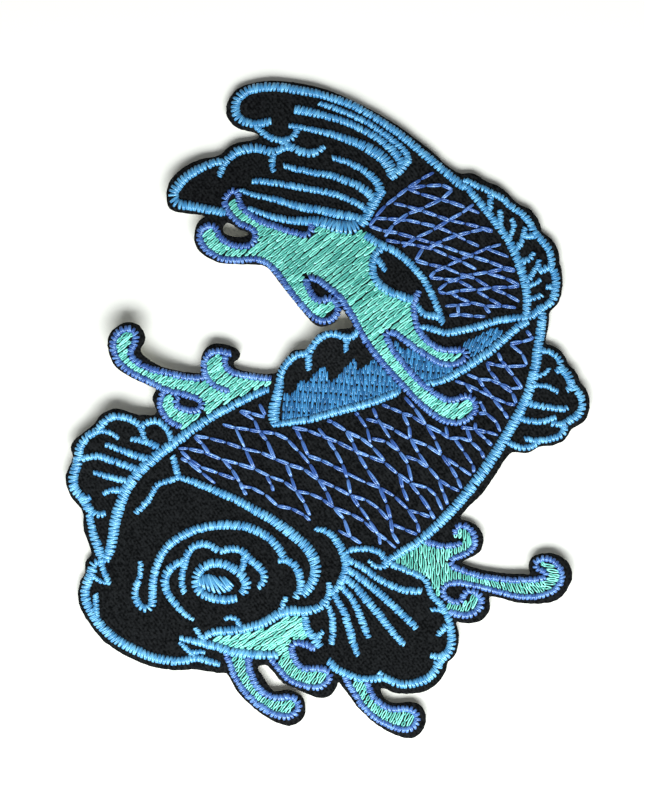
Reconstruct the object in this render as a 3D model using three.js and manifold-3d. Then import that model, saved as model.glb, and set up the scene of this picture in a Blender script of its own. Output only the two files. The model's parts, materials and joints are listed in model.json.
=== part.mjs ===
// An iron-on embroidered koi carp patch, 88 x 111 mm, lying flat with its stitched face up.
// Millimetres: X runs across the patch, Y up the picture, Z out of the stitched face.
// Layers from below: heat-seal film, underside (bobbin) thread, stabilizer, black twill, top threads.
import * as THREE from 'three';
import { mergeVertices } from 'three/addons/utils/BufferGeometryUtils.js';
import Module from 'manifold-3d';

const wasm = await Module();
wasm.setup();

// ---- Layer heights and thread sizes ----
const FILM_THICKNESS = 0.12;
const BOBBIN_THICKNESS = 0.14;
const STABILIZER_THICKNESS = 0.3;
const TWILL_THICKNESS = 0.44;
const BOBBIN_BASE = FILM_THICKNESS;
const STABILIZER_BASE = BOBBIN_BASE + BOBBIN_THICKNESS;
const TWILL_BASE = STABILIZER_BASE + STABILIZER_THICKNESS;
const STITCH_BASE = TWILL_BASE + TWILL_THICKNESS;
const SATIN_HEIGHT = 0.5;
const RUNNING_HEIGHT = 0.4;
const FILL_HEIGHT = 0.28;
const THREAD_GAP = 0.3;
const CUTTER_OVERREACH = 1;
const BOBBIN_SHARE = 0.35;
const RUNNING_WIDTH = 0.72;
const SHARP_TURN = THREE.MathUtils.degToRad(28);
const STRIP_SPANS = 8;
const STRAIGHT_WITHIN = 0.015;
const MERGE_WITHIN = 1e-4;
const CHORDS_PER_SPAN = 2;

// ---- Thread and cloth colours ----
const FINISHES = {
  adhesive: { color: 0xd9d6cb, roughness: 0.55 },
  bobbin: { color: 0xe6e6e2, roughness: 0.7 },
  backing: { color: 0x2b2b2b, roughness: 0.95 },
  twill: { color: 0x1b1b1a, roughness: 0.9 },
  sky: { color: 0x4fa6e0, roughness: 0.4 },
  periwinkle: { color: 0x5c80dc, roughness: 0.4 },
  aqua: { color: 0x66dcbc, roughness: 0.4 },
  midblue: { color: 0x3e85c6, roughness: 0.4 },
};

// A stroke of stitching: its width (or its widths from start to end) and the line it follows.
const stroke = (width, points) => ({ widths: [width].flat(), points });

// ---- Outline of the cut cloth, clockwise from the notch between the two tail lobes ----
const CLOTH_EDGE = [
  [-11.4, 46.1], [-12.2, 46.9], [-15, 47.6], [-16.9, 49.6], [-16.8, 52.1], [-15.2, 54.2], [-10.5, 55.55],
  [-2.5, 54.7], [3.5, 52.6], [11.5, 48.2], [18, 43.3], [20.5, 41], [22.8, 39.8], [24, 40], [25.2, 39.7],
  [27, 38.5], [29.5, 37.4], [32.2, 34.8], [33.4, 34.3], [34.6, 33.5], [36, 31.3], [36.2, 30.2], [38, 28.7],
  [39.2, 26.2], [39.2, 24.9], [39.6, 23.6], [39.7, 20.7], [39, 18], [37.5, 16.4], [37.5, 15.2], [37, 12.2],
  [36.9, 11], [37.7, 10.9], [39.7, 9.6], [40.8, 7.5], [41.7, 6.7], [42.3, 5.7], [42.7, 4.5], [43.5, 3.7],
  [44, 2.8], [44.25, 0.2], [43.4, -2], [41.3, -3.3], [40.1, -5.1], [37.6, -6.1], [36, -6.2], [34.2, -7.2],
  [32.8, -7.3], [31.4, -7.2], [30.4, -7.9], [28.6, -10.7], [26, -14.4], [24, -16.3], [22.4, -18.5],
  [24.3, -19.1], [25.3, -19.8], [26.4, -22], [25.6, -24.2], [22.7, -25.9], [29, -27.7], [33, -27.9],
  [34.4, -27.9], [34.2, -27], [34.2, -26], [34.7, -25.1], [35.6, -24.6], [38.4, -24.5], [40.7, -26],
  [41.3, -28.5], [39.3, -31.9], [36, -32.8], [32, -32.6], [27.4, -31.7], [27.5, -33.7], [25.8, -35.8],
  [23, -36.1], [21.7, -35.9], [22.2, -38], [21.9, -40.7], [21.2, -42], [20.3, -42.8], [20.1, -43.9],
  [18.3, -46.6], [15.5, -47.9], [11, -47.8], [9.9, -47.2], [8.9, -47.2], [9.6, -48.9], [10.7, -49.6],
  [12.2, -49.75], [14.8, -49.65], [16.4, -51.1], [16.4, -53.6], [14.9, -55.4], [12.6, -55.4], [8.3, -53.2],
  [4.9, -50], [1.8, -46], [1.6, -46.7], [0.6, -48.2], [-1.2, -48.8], [-5.5, -47.1], [-7.5, -46.2],
  [-10.2, -43.3], [-11.4, -43.3], [-11.9, -43.8], [-11.4, -44.6], [-9.9, -46.9], [-9.1, -47.8],
  [-6.8, -47.5], [-4.6, -48.4], [-4, -49.2], [-3.9, -51.6], [-4.4, -52.5], [-6.3, -53.5], [-10.2, -52.1],
  [-15.2, -47.7], [-17.1, -44.6], [-18.5, -44.6], [-22, -44], [-26, -44.1], [-30, -43.4], [-35.6, -40.8],
  [-38.4, -38.6], [-41.7, -33.7], [-42.2, -31.2], [-41.6, -28.8], [-41, -27.8], [-40.9, -25.7],
  [-40.1, -25], [-39.9, -24.2], [-41.1, -20.7], [-41.3, -19.4], [-41.2, -17.9], [-41.6, -16.8],
  [-43.3, -14.8], [-44.2, -12.2], [-44.1, -10.8], [-43.1, -8.6], [-43, -7.6], [-43.3, -6.7], [-43.1, -5.7],
  [-39.9, -3], [-38.9, -2], [-38.4, -1.1], [-35.8, 0.1], [-32, -1], [-30.6, -1], [-29.2, -0.9],
  [-28.8, -0.3], [-29.5, 1.6], [-29.3, 2.6], [-28.8, 3.4], [-30.6, 4.3], [-35.8, 7.4], [-36.9, 12.2],
  [-34.2, 14.6], [-31.9, 14.2], [-30.8, 12.2], [-31, 11.2], [-31.6, 10.2], [-31.3, 9.3], [-27.8, 7.1],
  [-23, 6.15], [-21.4, 6.1], [-21.35, 7.2], [-21.1, 9.4], [-19.5, 11], [-17.1, 10.9], [-15.1, 9.9],
  [-14.8, 9.2], [-15.1, 8.6], [-15.8, 8.1], [-15.9, 7.4], [-15.3, 6.8], [-12.6, 6.2], [-8.7, 6.05],
  [-8.2, 6.9], [-5.6, 9.95], [-3.3, 10.2], [-2.7, 11.2], [-1.2, 12.9], [4.4, 14], [3.2, 16], [2.5, 16.9],
  [1.5, 15.1], [0.6, 14.4], [-1.8, 14.2], [-10, 23.9], [-11.5, 24.5], [-18, 24.8], [-21, 26.2],
  [-22, 27.3], [-22.45, 28.7], [-22, 31.3], [-21.3, 32.1], [-20.5, 32.6], [-21.8, 33], [-26.6, 34],
  [-26.8, 38.1], [-23.5, 41.4], [-20.6, 42.45], [-19.1, 42.7], [-18, 43.2], [-15.9, 44.9], [-12.8, 45.5],
];

// The see-through gap between the tail and the small curl under it, anticlockwise.
const CLOTH_HOLE = [
  [-17.6, 31], [-17.7, 30], [-16.9, 29.4], [-15.8, 29.1], [-14.5, 29.1], [-13.4, 29.4],
  [-13.2, 29.9], [-14.3, 30.2], [-15.3, 30.7], [-16.2, 31.4], [-17.1, 31.6],
];

// ---- Edge lines that a filled area shares with the outline stitched round it ----
const UPPER_SPLASH_EDGE = [
  [-2.8, 31.3], [-2.7, 30.3], [-3.6, 29.5], [-5.4, 29.9], [-7.2, 30.4], [-9, 31], [-10.6, 31.5],
  [-12, 32.2], [-13.2, 33], [-14.3, 34], [-15, 35.2], [-15.1, 36.4], [-15.7, 37.1], [-16.8, 36.5],
  [-17.4, 35.3], [-17, 34], [-16.3, 32.9], [-15.3, 31.9], [-14.2, 31.2], [-13.1, 30.8], [-12.3, 30],
  [-12.2, 29], [-12.7, 28], [-13.8, 27.6], [-15, 27.6], [-16.4, 27.9], [-17.6, 28.6], [-18.5, 29.6],
  [-18.8, 30.6], [-19.8, 31.1], [-20.8, 30.8], [-21.5, 30], [-21.6, 29.1], [-21.3, 28.2], [-20.6, 27.2],
  [-19.5, 26.3], [-18.2, 25.6], [-16.5, 25.3], [-14.5, 25.3], [-12.5, 25.5], [-11, 25.2], [-9.8, 24.5],
  [-8.8, 23.5], [-7.9, 22.4], [-7.1, 21.2], [-6.3, 20.1], [-5.5, 19], [-4.6, 17.9], [-3.6, 16.8],
  [-2.6, 15.8], [-1.4, 15.1], [-0.1, 14.95], [1, 15.5], [1.7, 16.5], [1.7, 17.7], [1.1, 18.5],
  [0.1, 18.8], [-0.9, 18.3], [-1.8, 18.5], [-2.5, 19.2], [-3.1, 20.2], [-3.5, 21.2], [-3.5, 22],
  [-2.7, 22.3], [-1.6, 21.9], [-0.6, 21.2], [0.4, 20.4], [1.4, 19.6], [2.5, 18.5], [3.3, 17.2],
  [4.1, 16], [4.8, 14.8], [5.4, 13.6], [6.1, 12.4], [6.9, 11.1], [7.8, 9.8], [8.8, 8.6], [9.8, 7.4],
  [10.8, 6.2], [11.8, 5.1], [12.9, 4], [13.8, 3], [14.8, 1.9], [15.9, 0.9], [17.1, -0.1], [18.4, -1.1],
  [19.9, -1.9], [21.5, -2.2], [23, -2], [24.3, -1.2], [25, -0.1], [25, 1], [24.4, 1.9], [23.4, 2.3],
  [22.5, 2], [21.6, 1.6], [20.4, 1.6], [19.2, 2.1], [18.2, 2.7], [17.3, 3.4], [16.2, 4.2], [15.2, 5.1],
  [14.3, 6.1], [13.4, 7.1], [12.5, 8.2], [11.6, 9.3], [10.8, 10.4], [10.3, 11.5], [9.9, 12.5],
  [10.2, 13.2], [11.2, 13], [12.3, 12.4], [13.4, 11.5], [14.6, 10.6], [16, 9.7], [17.2, 8.9],
  [18.5, 8.2], [20, 7.7], [21.5, 7.7], [22.8, 8.2], [23.6, 9.1], [23.3, 9.9], [22.2, 10.1], [20.8, 10],
  [19.4, 10.2], [18, 10.8], [16.8, 11.7], [15.9, 12.7], [15.2, 13.9], [14.8, 15.3], [14.6, 16.8],
  [14.7, 18.2], [15.2, 19.3],
];
const LEAF_LEFT_EDGE = [
  [14, 18.7], [12.4, 19.2], [10.8, 19.8], [9.3, 20.7], [8.2, 21.8], [7.7, 23.1], [7.6, 24.5],
  [7.9, 25.9], [8.7, 27],
];
const TAIL_ROOT_EDGE = [
  [7.6, 28.9], [6.3, 29.7], [4.9, 30.2], [3.4, 30.4], [1.8, 30.6], [0.2, 31], [-1.4, 31.5],
];
const LEFT_SPLASH_EDGE = [
  [-25.1, 2.1], [-25.7, 1.5], [-25.5, 0.7], [-24.5, 0.1], [-23.3, -0.2], [-22.1, -0.2], [-21.3, 0.4],
  [-21.3, 1.3], [-22.2, 1.9], [-23.4, 2.3], [-24.8, 2.8], [-26.2, 3], [-27.4, 3.4], [-28.6, 4],
  [-30, 4.7], [-31.4, 5.4], [-32.8, 6.1], [-34, 6.9], [-34.9, 7.7], [-35.6, 8.7], [-36, 9.8],
  [-36.1, 11], [-35.9, 12.1], [-35.2, 13.1], [-34, 13.6], [-32.9, 13.4], [-32.3, 12.5], [-32.5, 11.4],
  [-33, 10.4], [-33.3, 9.4], [-32.6, 8.4], [-31.4, 7.5], [-30, 6.9], [-28.4, 6.5], [-26.8, 6.1],
  [-25.2, 5.7], [-23.5, 5.4], [-21.9, 5.3], [-20.6, 5.5],
];
const LEFT_CURL_EDGE = [
  [-16.6, 3.2], [-17.8, 3.4], [-19, 4], [-20, 4.8], [-20.6, 5.8], [-20.9, 7], [-20.8, 8.2],
  [-20.2, 9.2], [-19.2, 9.8], [-18, 9.85], [-16.9, 9.6], [-16.3, 9.4],
];
const LEFT_CURL_INNER_EDGE = [
  [-17.3, 9.5], [-17.4, 8], [-17.1, 7.1], [-16.3, 6.4], [-15, 5.9], [-13.5, 5.7], [-12, 5.45],
  [-10.5, 5.3], [-9.5, 5.2],
];
const LEFT_LOOP_EDGE = [
  [-27.5, 3.3], [-28, 2.4], [-28.3, 1.3], [-28.2, 0.2], [-27.6, -0.9], [-26.8, -1.8], [-25.8, -2.5],
  [-24.7, -2.8],
];
const RIGHT_CURL_EDGE = [
  [17.3, -22.5], [18.6, -23], [20, -23.1], [21.4, -23], [22.6, -22.6],
];
const RIGHT_SPLASH_EDGE = [
  [21.6, -21.2], [21.7, -20.2], [22.6, -19.6], [23.7, -19.9], [24.6, -20.8], [25, -21.9], [24.8, -23.1],
  [24, -24], [22.9, -24.6], [21.8, -25], [20.9, -25.6], [21.1, -26.5], [22.4, -27.1], [24.2, -27.7],
  [26, -28.2], [28, -28.5], [30, -28.8], [32, -28.9], [34, -28.8], [35.8, -28.7], [36.9, -28.3],
  [36.9, -27.5], [36, -27.1], [35.2, -26.6], [35.3, -25.8], [36.3, -25.2], [37.5, -25.3], [38.6, -25.9],
  [39.4, -27], [39.7, -28.2], [39.3, -29.4], [38.4, -30.5], [37, -31.2], [35.3, -31.6], [33.5, -31.7],
  [31.8, -31.5], [30, -31.1], [28.2, -30.6], [26.5, -30.2], [25, -29.8], [23.5, -29.5], [22, -29.3],
  [20.8, -29.4], [19.8, -29.9], [19.5, -30.9], [20, -31.8], [21, -32.4], [22, -32.6], [22.8, -32.2],
  [23.1, -31.3], [23.8, -30.7], [24.9, -30.9], [25.8, -31.6], [26.1, -32.6], [25.7, -33.6],
  [24.8, -34.4], [23.5, -34.8], [22.2, -34.7], [21.2, -34.4],
];
const CHIN_CURL_LEFT_EDGE = [
  [-17, -41.9], [-16.5, -43], [-16.1, -44.2], [-15.5, -45.4], [-14.8, -46.6], [-14, -47.7],
  [-13, -48.8], [-11.9, -49.8], [-10.6, -50.7], [-9.2, -51.5], [-7.8, -51.9], [-6.5, -51.9],
  [-5.4, -51.2], [-4.9, -50.2], [-5.2, -49.2], [-6.1, -48.6], [-7.4, -48.7], [-8.6, -48.8],
  [-9.8, -48.5], [-10.9, -47.9], [-11.8, -47], [-12.5, -45.9], [-13, -44.6], [-13.3, -43.4],
  [-13.4, -42.2],
];
const CHIN_CURL_RIGHT_EDGE = [
  [-9.1, -42.7], [-8.3, -43.7], [-7.5, -44.7], [-6.5, -45.7], [-5.3, -46.3], [-4, -46.7],
  [-2.6, -47], [-1.3, -46.9], [-0.4, -46.4], [0.3, -45.6], [0.4, -44.8], [-0.3, -44.1], [-1.4, -43.8],
  [-2.6, -43.8], [-3.7, -43.9], [-4.6, -43.5], [-5.3, -42.6], [-5.8, -41.6], [-6.1, -40.6],
  [-5.9, -39.7], [-4.9, -39.4], [-3.8, -39.7], [-2.7, -40.2],
];
const BOTTOM_CURL_EDGE = [
  [3.3, -46], [4, -47.1], [4.8, -48.3], [5.6, -49.6], [6.6, -50.8], [7.8, -51.9], [9.2, -52.8],
  [10.7, -53.5], [12.2, -54], [13.6, -54.1], [14.7, -53.5], [15.2, -52.4], [14.9, -51.4],
  [14.1, -50.8], [12.9, -50.6], [11.5, -50.7], [10.2, -50.5], [9, -49.8], [8, -48.9], [7.3, -47.8],
  [6.9, -46.7],
];
const CHIN_UPPER_EDGE = [
  [-20.6, -38.4], [-19, -37.6], [-17, -37.5], [-15, -37.3], [-13, -36.8], [-11, -36.2], [-9.3, -35.3],
  [-7.8, -34.4], [-6.2, -34.1], [-4.5, -34.1], [-2.8, -34], [-1.3, -33.4], [-0.2, -32.4], [0.3, -31.2],
  [0.3, -30],
];
const CHIN_LOWER_EDGE = [
  [-25.1, -38.6], [-23.6, -39], [-21.8, -39.4], [-20, -39.8], [-18.4, -40.2], [-16.8, -40.8],
  [-15, -41.2], [-13, -41.4], [-11, -41.5], [-8.4, -41.5],
];
const CHIN_END_EDGE = [
  [-3.8, -34.6], [-3.7, -36], [-3.4, -37.2], [-2.6, -38.2], [-2, -39.2], [-1.2, -40.2],
];

// ---- Sky-blue satin lines ----
const SKY_LINES = {
  tail_outline_threads: [
    stroke([1.4, 1.5, 1.6, 1.4, 1.2, 1.3, 1.5], [
      [-9.5, 48.8], [-11, 48.5], [-12.5, 48.4], [-14.2, 48.8], [-15.2, 49.6], [-15.6, 50.8],
      [-15.5, 51.9], [-14.9, 53], [-13.7, 53.9], [-12, 54.4], [-9.8, 54.6], [-7.5, 54.5], [-5, 54.1],
      [-3, 53.7], [-1, 53.3], [1, 52.7], [3, 52], [5, 51.1], [7, 50], [9, 48.8], [11, 47.5], [13, 46],
      [15, 44.4], [17, 42.7], [19, 41], [20.6, 39.7], [21.8, 38.7], [22.8, 37.9],
    ]),
    stroke(1.1, [
      [-12, 48], [-11.2, 47.2], [-10.3, 46.4], [-9.2, 45.9], [-7.8, 45.6], [-6.5, 45.8], [-5.6, 46.4],
      [-5.3, 47],
    ]),
    stroke([1.2, 1.5, 0.9], [
      [-7.6, 45.5], [-6.9, 44.9], [-5.6, 44.2], [-4.2, 43.6], [-2.6, 43.4], [-1.3, 43.9], [-0.5, 44.6],
    ]),
    stroke([1.2, 1.4, 1.6, 0.9], [
      [-6.4, 44.6], [-7.8, 44.2], [-9.2, 43.6], [-10.5, 43.9], [-12.2, 44.3], [-13.8, 44.1],
      [-15.3, 43.6], [-16.6, 42.6], [-17.6, 41.2], [-18.3, 39.4],
    ]),
    stroke([1.1, 1], [[-9, 43.5], [-9.4, 42.2], [-9.3, 41.2], [-9, 40.2]]),
    stroke([1.2, 1.7, 1.6, 1.4], [
      [-17.5, 42], [-19.4, 41.7], [-21, 41], [-22.6, 40.2], [-24, 39.2], [-25.2, 38], [-26, 36.7],
      [-25.9, 35.5], [-25, 34.7], [-23.5, 34.5], [-21.5, 34.1], [-19.5, 33.7], [-18, 33.4],
    ]),
  ],
  tail_upper_ray_threads: [
    stroke([0.9, 1, 1.2], [
      [-1.4, 51.8], [1, 51.1], [3.5, 50.1], [6, 49], [8.3, 47.6], [10.3, 46.2], [12, 44.8],
      [13.3, 43.4], [13.9, 42.3],
    ]),
    stroke([1.7, 1.1, 1.2, 1.5], [
      [-5.6, 50.9], [-3.5, 50.5], [-1, 49.9], [1.5, 49.2], [4, 48.3], [6.5, 47.1], [8.7, 45.8],
      [10.6, 44.3], [12, 42.8], [12.8, 41.4],
    ]),
    stroke([0.8, 1.2, 1.9, 2.1], [
      [-5.8, 48], [-3.5, 47.6], [-1, 47], [1.5, 46.4], [4, 45.5], [6, 44.7], [8, 43.6], [9.6, 42.4],
      [10.6, 41], [11.1, 39.9],
    ]),
    stroke([1.2, 1.8, 1.5], [[13.9, 42.6], [12.8, 41.2], [11.5, 40], [10.4, 39.3]]),
  ],
  tail_middle_ray_threads: [
    stroke([0.9, 1.3, 1.8], [
      [0.8, 42.7], [2.5, 42.2], [4.2, 41.5], [6, 40.6], [7.7, 39.3], [8.8, 37.9], [9, 36.6],
    ]),
    stroke([1, 1.2, 1.6], [
      [-7.4, 41.3], [-5.5, 40.8], [-3, 40.3], [-1, 39.9], [1, 39.5], [3, 38.8], [5, 38], [6.7, 36.9],
      [7.8, 35.6],
    ]),
    stroke([1.5, 1.9, 1.7], [[9.3, 37.4], [8.5, 36], [7.7, 34.8]]),
  ],
  tail_lower_ray_threads: [
    stroke([1, 1.1, 1.1], [
      [-12.8, 38.7], [-10.5, 38.6], [-8, 38.2], [-5.5, 37.8], [-3, 37.3], [-0.5, 36.9], [2, 36.2],
      [4, 35.4], [6, 34.3], [7.2, 33.1],
    ]),
    stroke([0.7, 1.2, 1.5, 1.4], [
      [-14.1, 36.9], [-12, 36.2], [-10, 35.8], [-8, 35.3], [-6, 34.7], [-4, 34.2], [-2, 33.9],
      [0, 33.5], [2, 33], [4, 32.7], [5.8, 32.2],
    ]),
    stroke([1.6, 1.7, 1.6], [[7.1, 33.5], [6.4, 32.2], [5.5, 31.2]]),
    stroke([0.8, 1.2, 1.4, 2.1, 2.4], [
      [-13.2, 34], [-11.5, 33.3], [-9.5, 32.7], [-7.5, 32.2], [-5.5, 32], [-3.7, 31.9], [-2, 31.9],
      [-0.2, 31.5], [1.6, 31], [3.4, 30.8], [5, 31.2],
    ]),
  ],
  back_fin_outline_threads: [
    stroke([1, 1.1, 1.3, 1.2], [
      [23.4, 38.7], [24.6, 38.3], [25.6, 37.7], [26.8, 37.2], [28.2, 36.5], [29.6, 35.8],
      [30.6, 34.8], [31.8, 33.9], [33.2, 33], [34.2, 31.7], [34.9, 30.2], [35.5, 29.4], [36.4, 28.6],
      [37.2, 27.5], [37.8, 26.2], [38, 24.9], [37.9, 24],
    ]),
    stroke(1.1, [[35.4, 29.6], [34.3, 29.4]]),
    stroke([1.3, 1.4, 1.2], [
      [36.5, 23.7], [37.8, 24.2], [38.4, 23.2], [38.7, 21.9], [38.6, 20.6], [38.4, 19.3], [37.9, 18.2],
      [36.8, 17.5], [36, 16.7],
    ]),
    stroke(1.1, [[38.3, 20.6], [37, 20.9]]),
    stroke([1.3, 1.2], [[36.3, 17.5], [35.4, 16.5], [34.6, 15.9]]),
  ],
  stalk_edge_threads: [
    stroke([1.2, 1.3, 1.5, 1.4], [
      [23.6, 37.7], [24.5, 36.6], [25.5, 35.4], [26.5, 34.2], [27.6, 32.9], [28.7, 31.4], [29.8, 29.9],
      [30.8, 28.4], [31.6, 26.7], [32.4, 24.9], [33, 23.1], [33.5, 21.3], [33.8, 19.4], [33.8, 17.7],
      [33.7, 16.8],
    ]),
    stroke([1, 1.2], [[27.6, 35.9], [27.6, 34.6], [27.3, 33.4]]),
    stroke([0.9, 1.2], [[29.2, 33.8], [29.3, 32.4], [29.2, 31]]),
    stroke([1, 0.8], [[31.2, 32.3], [31.6, 31.2], [31.1, 29.8], [30.8, 28.8]]),
    stroke(1, [[33.3, 30], [33.1, 28.8], [32.4, 27.7], [31.7, 26.8]]),
    stroke([1, 1.2], [[34.9, 26.6], [34.4, 25.6], [33.5, 25.2], [32.4, 25.2]]),
    stroke(1, [[35.8, 25.4], [35.6, 24.3], [34.9, 23.3], [34.2, 22.2], [33.6, 21.6]]),
    stroke(0.8, [[36.2, 22], [35.3, 21.4], [34.2, 21], [33.5, 21]]),
    stroke(0.9, [[36.3, 19.4], [35.4, 19], [34.4, 18.7], [33.7, 18.6]]),
  ],
  stalk_base_threads: [
    stroke([0.9, 1.3, 1.3, 1.1], [
      [15.9, 14], [17.2, 13.8], [18.9, 13.3], [20.5, 13], [22, 13.3], [24, 13.7], [26, 14.2],
      [28, 14.9], [30, 15.3], [32, 15.5], [33.6, 15.6], [34.2, 15.6],
    ]),
  ],
  leaf_fin_threads: [
    stroke([1.4, 1.3, 1.2, 1.1, 1.1], [
      [6.4, 29.6], [7.5, 28.8], [8.8, 28], [10.2, 27.4], [11.7, 26.6], [13.1, 25.5], [14.5, 24.2],
      [15.8, 22.7], [16.9, 21], [17.7, 19.3], [18.5, 17.6], [19.1, 16], [19.6, 14.5],
    ]),
    stroke([1.4, 1.5, 1.3, 1.2], LEAF_LEFT_EDGE.concat([[9.6, 27.7]])),
    stroke([1.2, 0.9], [[8.2, 25.8], [9, 24.8], [9.9, 23.5]]),
    stroke([0.9, 1.4], [[15.5, 17.2], [16, 16.4], [17.1, 15.9], [18.2, 15.8], [19.2, 15.9]]),
  ],
  dorsal_outline_threads: [
    stroke([1.9, 1.9, 1.7, 1.4], [
      [-9, -2.2], [-9.1, -0.6], [-8.9, 1], [-8.5, 2.4], [-8.2, 3.6], [-8.1, 4.8],
    ]),
    stroke(1.2, [
      [-8.1, 4.4], [-8, 5.6], [-7.5, 6.8], [-6.8, 7.9], [-5.9, 8.8], [-4.9, 9.3], [-3.8, 9.4],
      [-2.9, 10], [-2.3, 11], [-1.6, 11.8], [-0.6, 12.4], [0.5, 12.8], [1.7, 12.7], [2.9, 12.2],
      [3.9, 12.2], [4.7, 12.8],
    ]),
    stroke([1.5, 0.7], [[-3.4, 9.6], [-3.2, 8.2], [-3.2, 6.5]]),
    stroke([1, 0.7], [[3.2, 12.2], [3.2, 10.9], [3.1, 9.7]]),
    stroke([0.9, 1.3, 1.4, 1.3], [
      [-9.4, -2.6], [-8, -2.4], [-6, -2.1], [-4, -1.8], [-2, -1.4], [0, -0.8], [2, -0.2], [4, 0.3],
      [6, 0.8], [8, 1.4], [10, 2.2], [12, 3],
    ]),
  ],
  dorsal_border_threads: [
    stroke([1, 1.4, 1.6, 1.4, 1.2], [
      [16.9, 4.4], [18.4, 4.6], [20.2, 5.2], [22, 6.2], [23.6, 7.2], [25.2, 8.3], [26.8, 9.4],
      [28.3, 10.5], [29.6, 11.7], [30.9, 12.8], [32.2, 13.9], [33.5, 14.7],
    ]),
  ],
  belly_outline_threads: [
    stroke([1.5, 1.6, 1.7, 1.8, 1.7, 1.5, 1.2], [
      [36.4, 15.8], [36.2, 14], [35.9, 12], [35.6, 10], [35.3, 8], [34.9, 6], [34.4, 4], [33.7, 2],
      [32.9, 0.3], [32, -1.4], [31, -3.2], [29.9, -5.1], [28.7, -7], [27.4, -9], [26, -11], [24.5, -13],
      [22.9, -15], [21.1, -17], [19.2, -19], [17.2, -20.9], [15.2, -22.5], [13.1, -23.8], [11.2, -24.9],
      [10, -25.8],
    ]),
    stroke([0.8, 0.7], [[35, 5.7], [36.2, 5.8], [37, 6.3], [37.5, 7]]),
    stroke([0.8, 0.8], [[34.4, 4], [35.6, 4.1], [37, 4], [38.2, 3.5], [39, 2.9]]),
    stroke([1.2, 1.1], [[33.1, 1.4], [34.8, 0.9], [36.8, 0.5], [38.8, 0.2], [40.7, 0.2]]),
    stroke([1.1, 1], [[31.9, -1.2], [33.4, -1.7], [35, -2], [36.6, -2], [37.9, -1.6]]),
  ],
  belly_fin_outline_threads: [
    stroke([0.9, 1.2, 1.5, 1.2], [
      [36.6, 10], [37.8, 9.7], [38.8, 9], [39.4, 8], [39.4, 7], [40.3, 6.3], [41, 5.3], [41.2, 4],
      [40.5, 3.1],
    ]),
    stroke([1.4, 0.8], [[39.7, 6.9], [38.6, 6.4]]),
    stroke([1, 1.3, 1.3, 1], [
      [41.3, 4.6], [42, 3.5], [42.8, 2.4], [43.1, 1.1], [42.9, -0.2], [42, -1.2], [40.8, -2],
      [39.8, -2.5], [38.7, -2.4],
    ]),
    stroke([1.2, 1.2, 0.9], [
      [40, -2.3], [40.1, -3.4], [39.4, -4.4], [38, -4.9], [36.4, -5.2], [35, -5.2], [33.4, -4.9],
    ]),
    stroke([1.1, 1], [[36, -5.3], [34.8, -6.1], [33.4, -6.5], [32.1, -6.3], [31.2, -5.8]]),
  ],
  back_outline_threads: [
    stroke([1.2, 1.4, 1.6, 1.8, 1.9, 1.6], [
      [-9.9, 3.5], [-11.2, 3], [-12.8, 2.3], [-14.6, 1.4], [-16.5, 0.4], [-18.5, -0.6], [-20.5, -1.8],
      [-22.5, -3.1], [-24.4, -4.5], [-26.3, -5.9], [-28.2, -7.3], [-30, -8.8], [-31.8, -10.5],
      [-33.4, -12.5], [-34.6, -14.7], [-35.4, -17], [-36, -19.3], [-36.3, -21.5], [-36.7, -23.5],
      [-37.3, -24.8],
    ]),
    stroke([0.9, 1.3], [[-33.3, -4.9], [-31.5, -5.2], [-30, -5.7], [-28.6, -6.5]]),
    stroke([0.8, 1.2, 1.4], [[-37.5, -5.9], [-35.5, -6.6], [-33.5, -7.4], [-32, -7.9], [-30.4, -8.4]]),
    stroke([1.1, 1.2, 1.3], [
      [-40.9, -8.2], [-39.6, -7.9], [-38.2, -8], [-36.5, -8.6], [-34.5, -9.3], [-32.8, -9.9], [-31.8, -10.3],
    ]),
    stroke([0.9, 1.2], [[-39.6, -10.6], [-38, -11.1], [-36, -11.6], [-34.4, -12], [-33.4, -12.3]]),
    stroke([0.7, 1.3], [[-38, -14.2], [-36.8, -13.8], [-35.6, -13.6], [-34.5, -13.7]]),
  ],
  left_fin_outline_threads: [
    stroke([1, 1.2], [[-26.6, -4.6], [-27, -3.4], [-28, -2.4], [-29.2, -1.9], [-30.3, -2.1], [-31.4, -2.9]]),
    stroke([0.9, 1.2, 1.3, 1.3], [
      [-31.2, -4.2], [-31.6, -3], [-32.6, -2], [-34, -1.4], [-35.6, -1.1], [-37, -1.5], [-38, -2.4],
      [-38.9, -3.4],
    ]),
    stroke([0.6, 1.2, 1.5, 1.6, 1.6], [
      [-35.2, -4.9], [-36.2, -4.2], [-37.4, -3.7], [-38.6, -3.5], [-39.9, -4.1], [-41, -5.1],
      [-41.8, -6.4], [-42.1, -7.8], [-42.3, -9.1], [-42.8, -10.6], [-43, -12], [-42.8, -13.3],
      [-42, -14.4], [-41.2, -15.2], [-40.7, -16.2], [-40.2, -17.1],
    ]),
    stroke(1.2, [[-41.4, -15.2], [-40.1, -14.7]]),
    stroke([1.3, 1.1], [[-40.6, -16.5], [-39.8, -17.4], [-38.6, -17.8], [-37.5, -17.6]]),
  ],
  gill_strip_threads: [
    stroke([1, 1.6, 1.5], [[-40.2, -18.4], [-39.9, -20], [-39.4, -21.8], [-38.8, -23.4], [-38.5, -24.4]]),
  ],
  face_outline_threads: [
    stroke([0.9, 1.6, 1.5, 1.6, 1.6, 1.4, 1], [
      [-37.2, -25.5], [-38.6, -25.6], [-39.7, -26.2], [-39.9, -27.3], [-40.3, -28.5], [-40.8, -29.7],
      [-41, -31], [-40.9, -32.2], [-40.5, -33.3], [-39.8, -34.5], [-39.1, -35.7], [-38.1, -36.9],
      [-36.8, -38.1], [-35.4, -39.2], [-33.8, -40.1], [-32, -41], [-30, -41.8], [-28, -42.3],
      [-26, -42.6], [-24, -42.5], [-22.6, -42.1], [-21.3, -42.2], [-19.8, -42.7], [-18.2, -43.1],
    ]),
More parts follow.
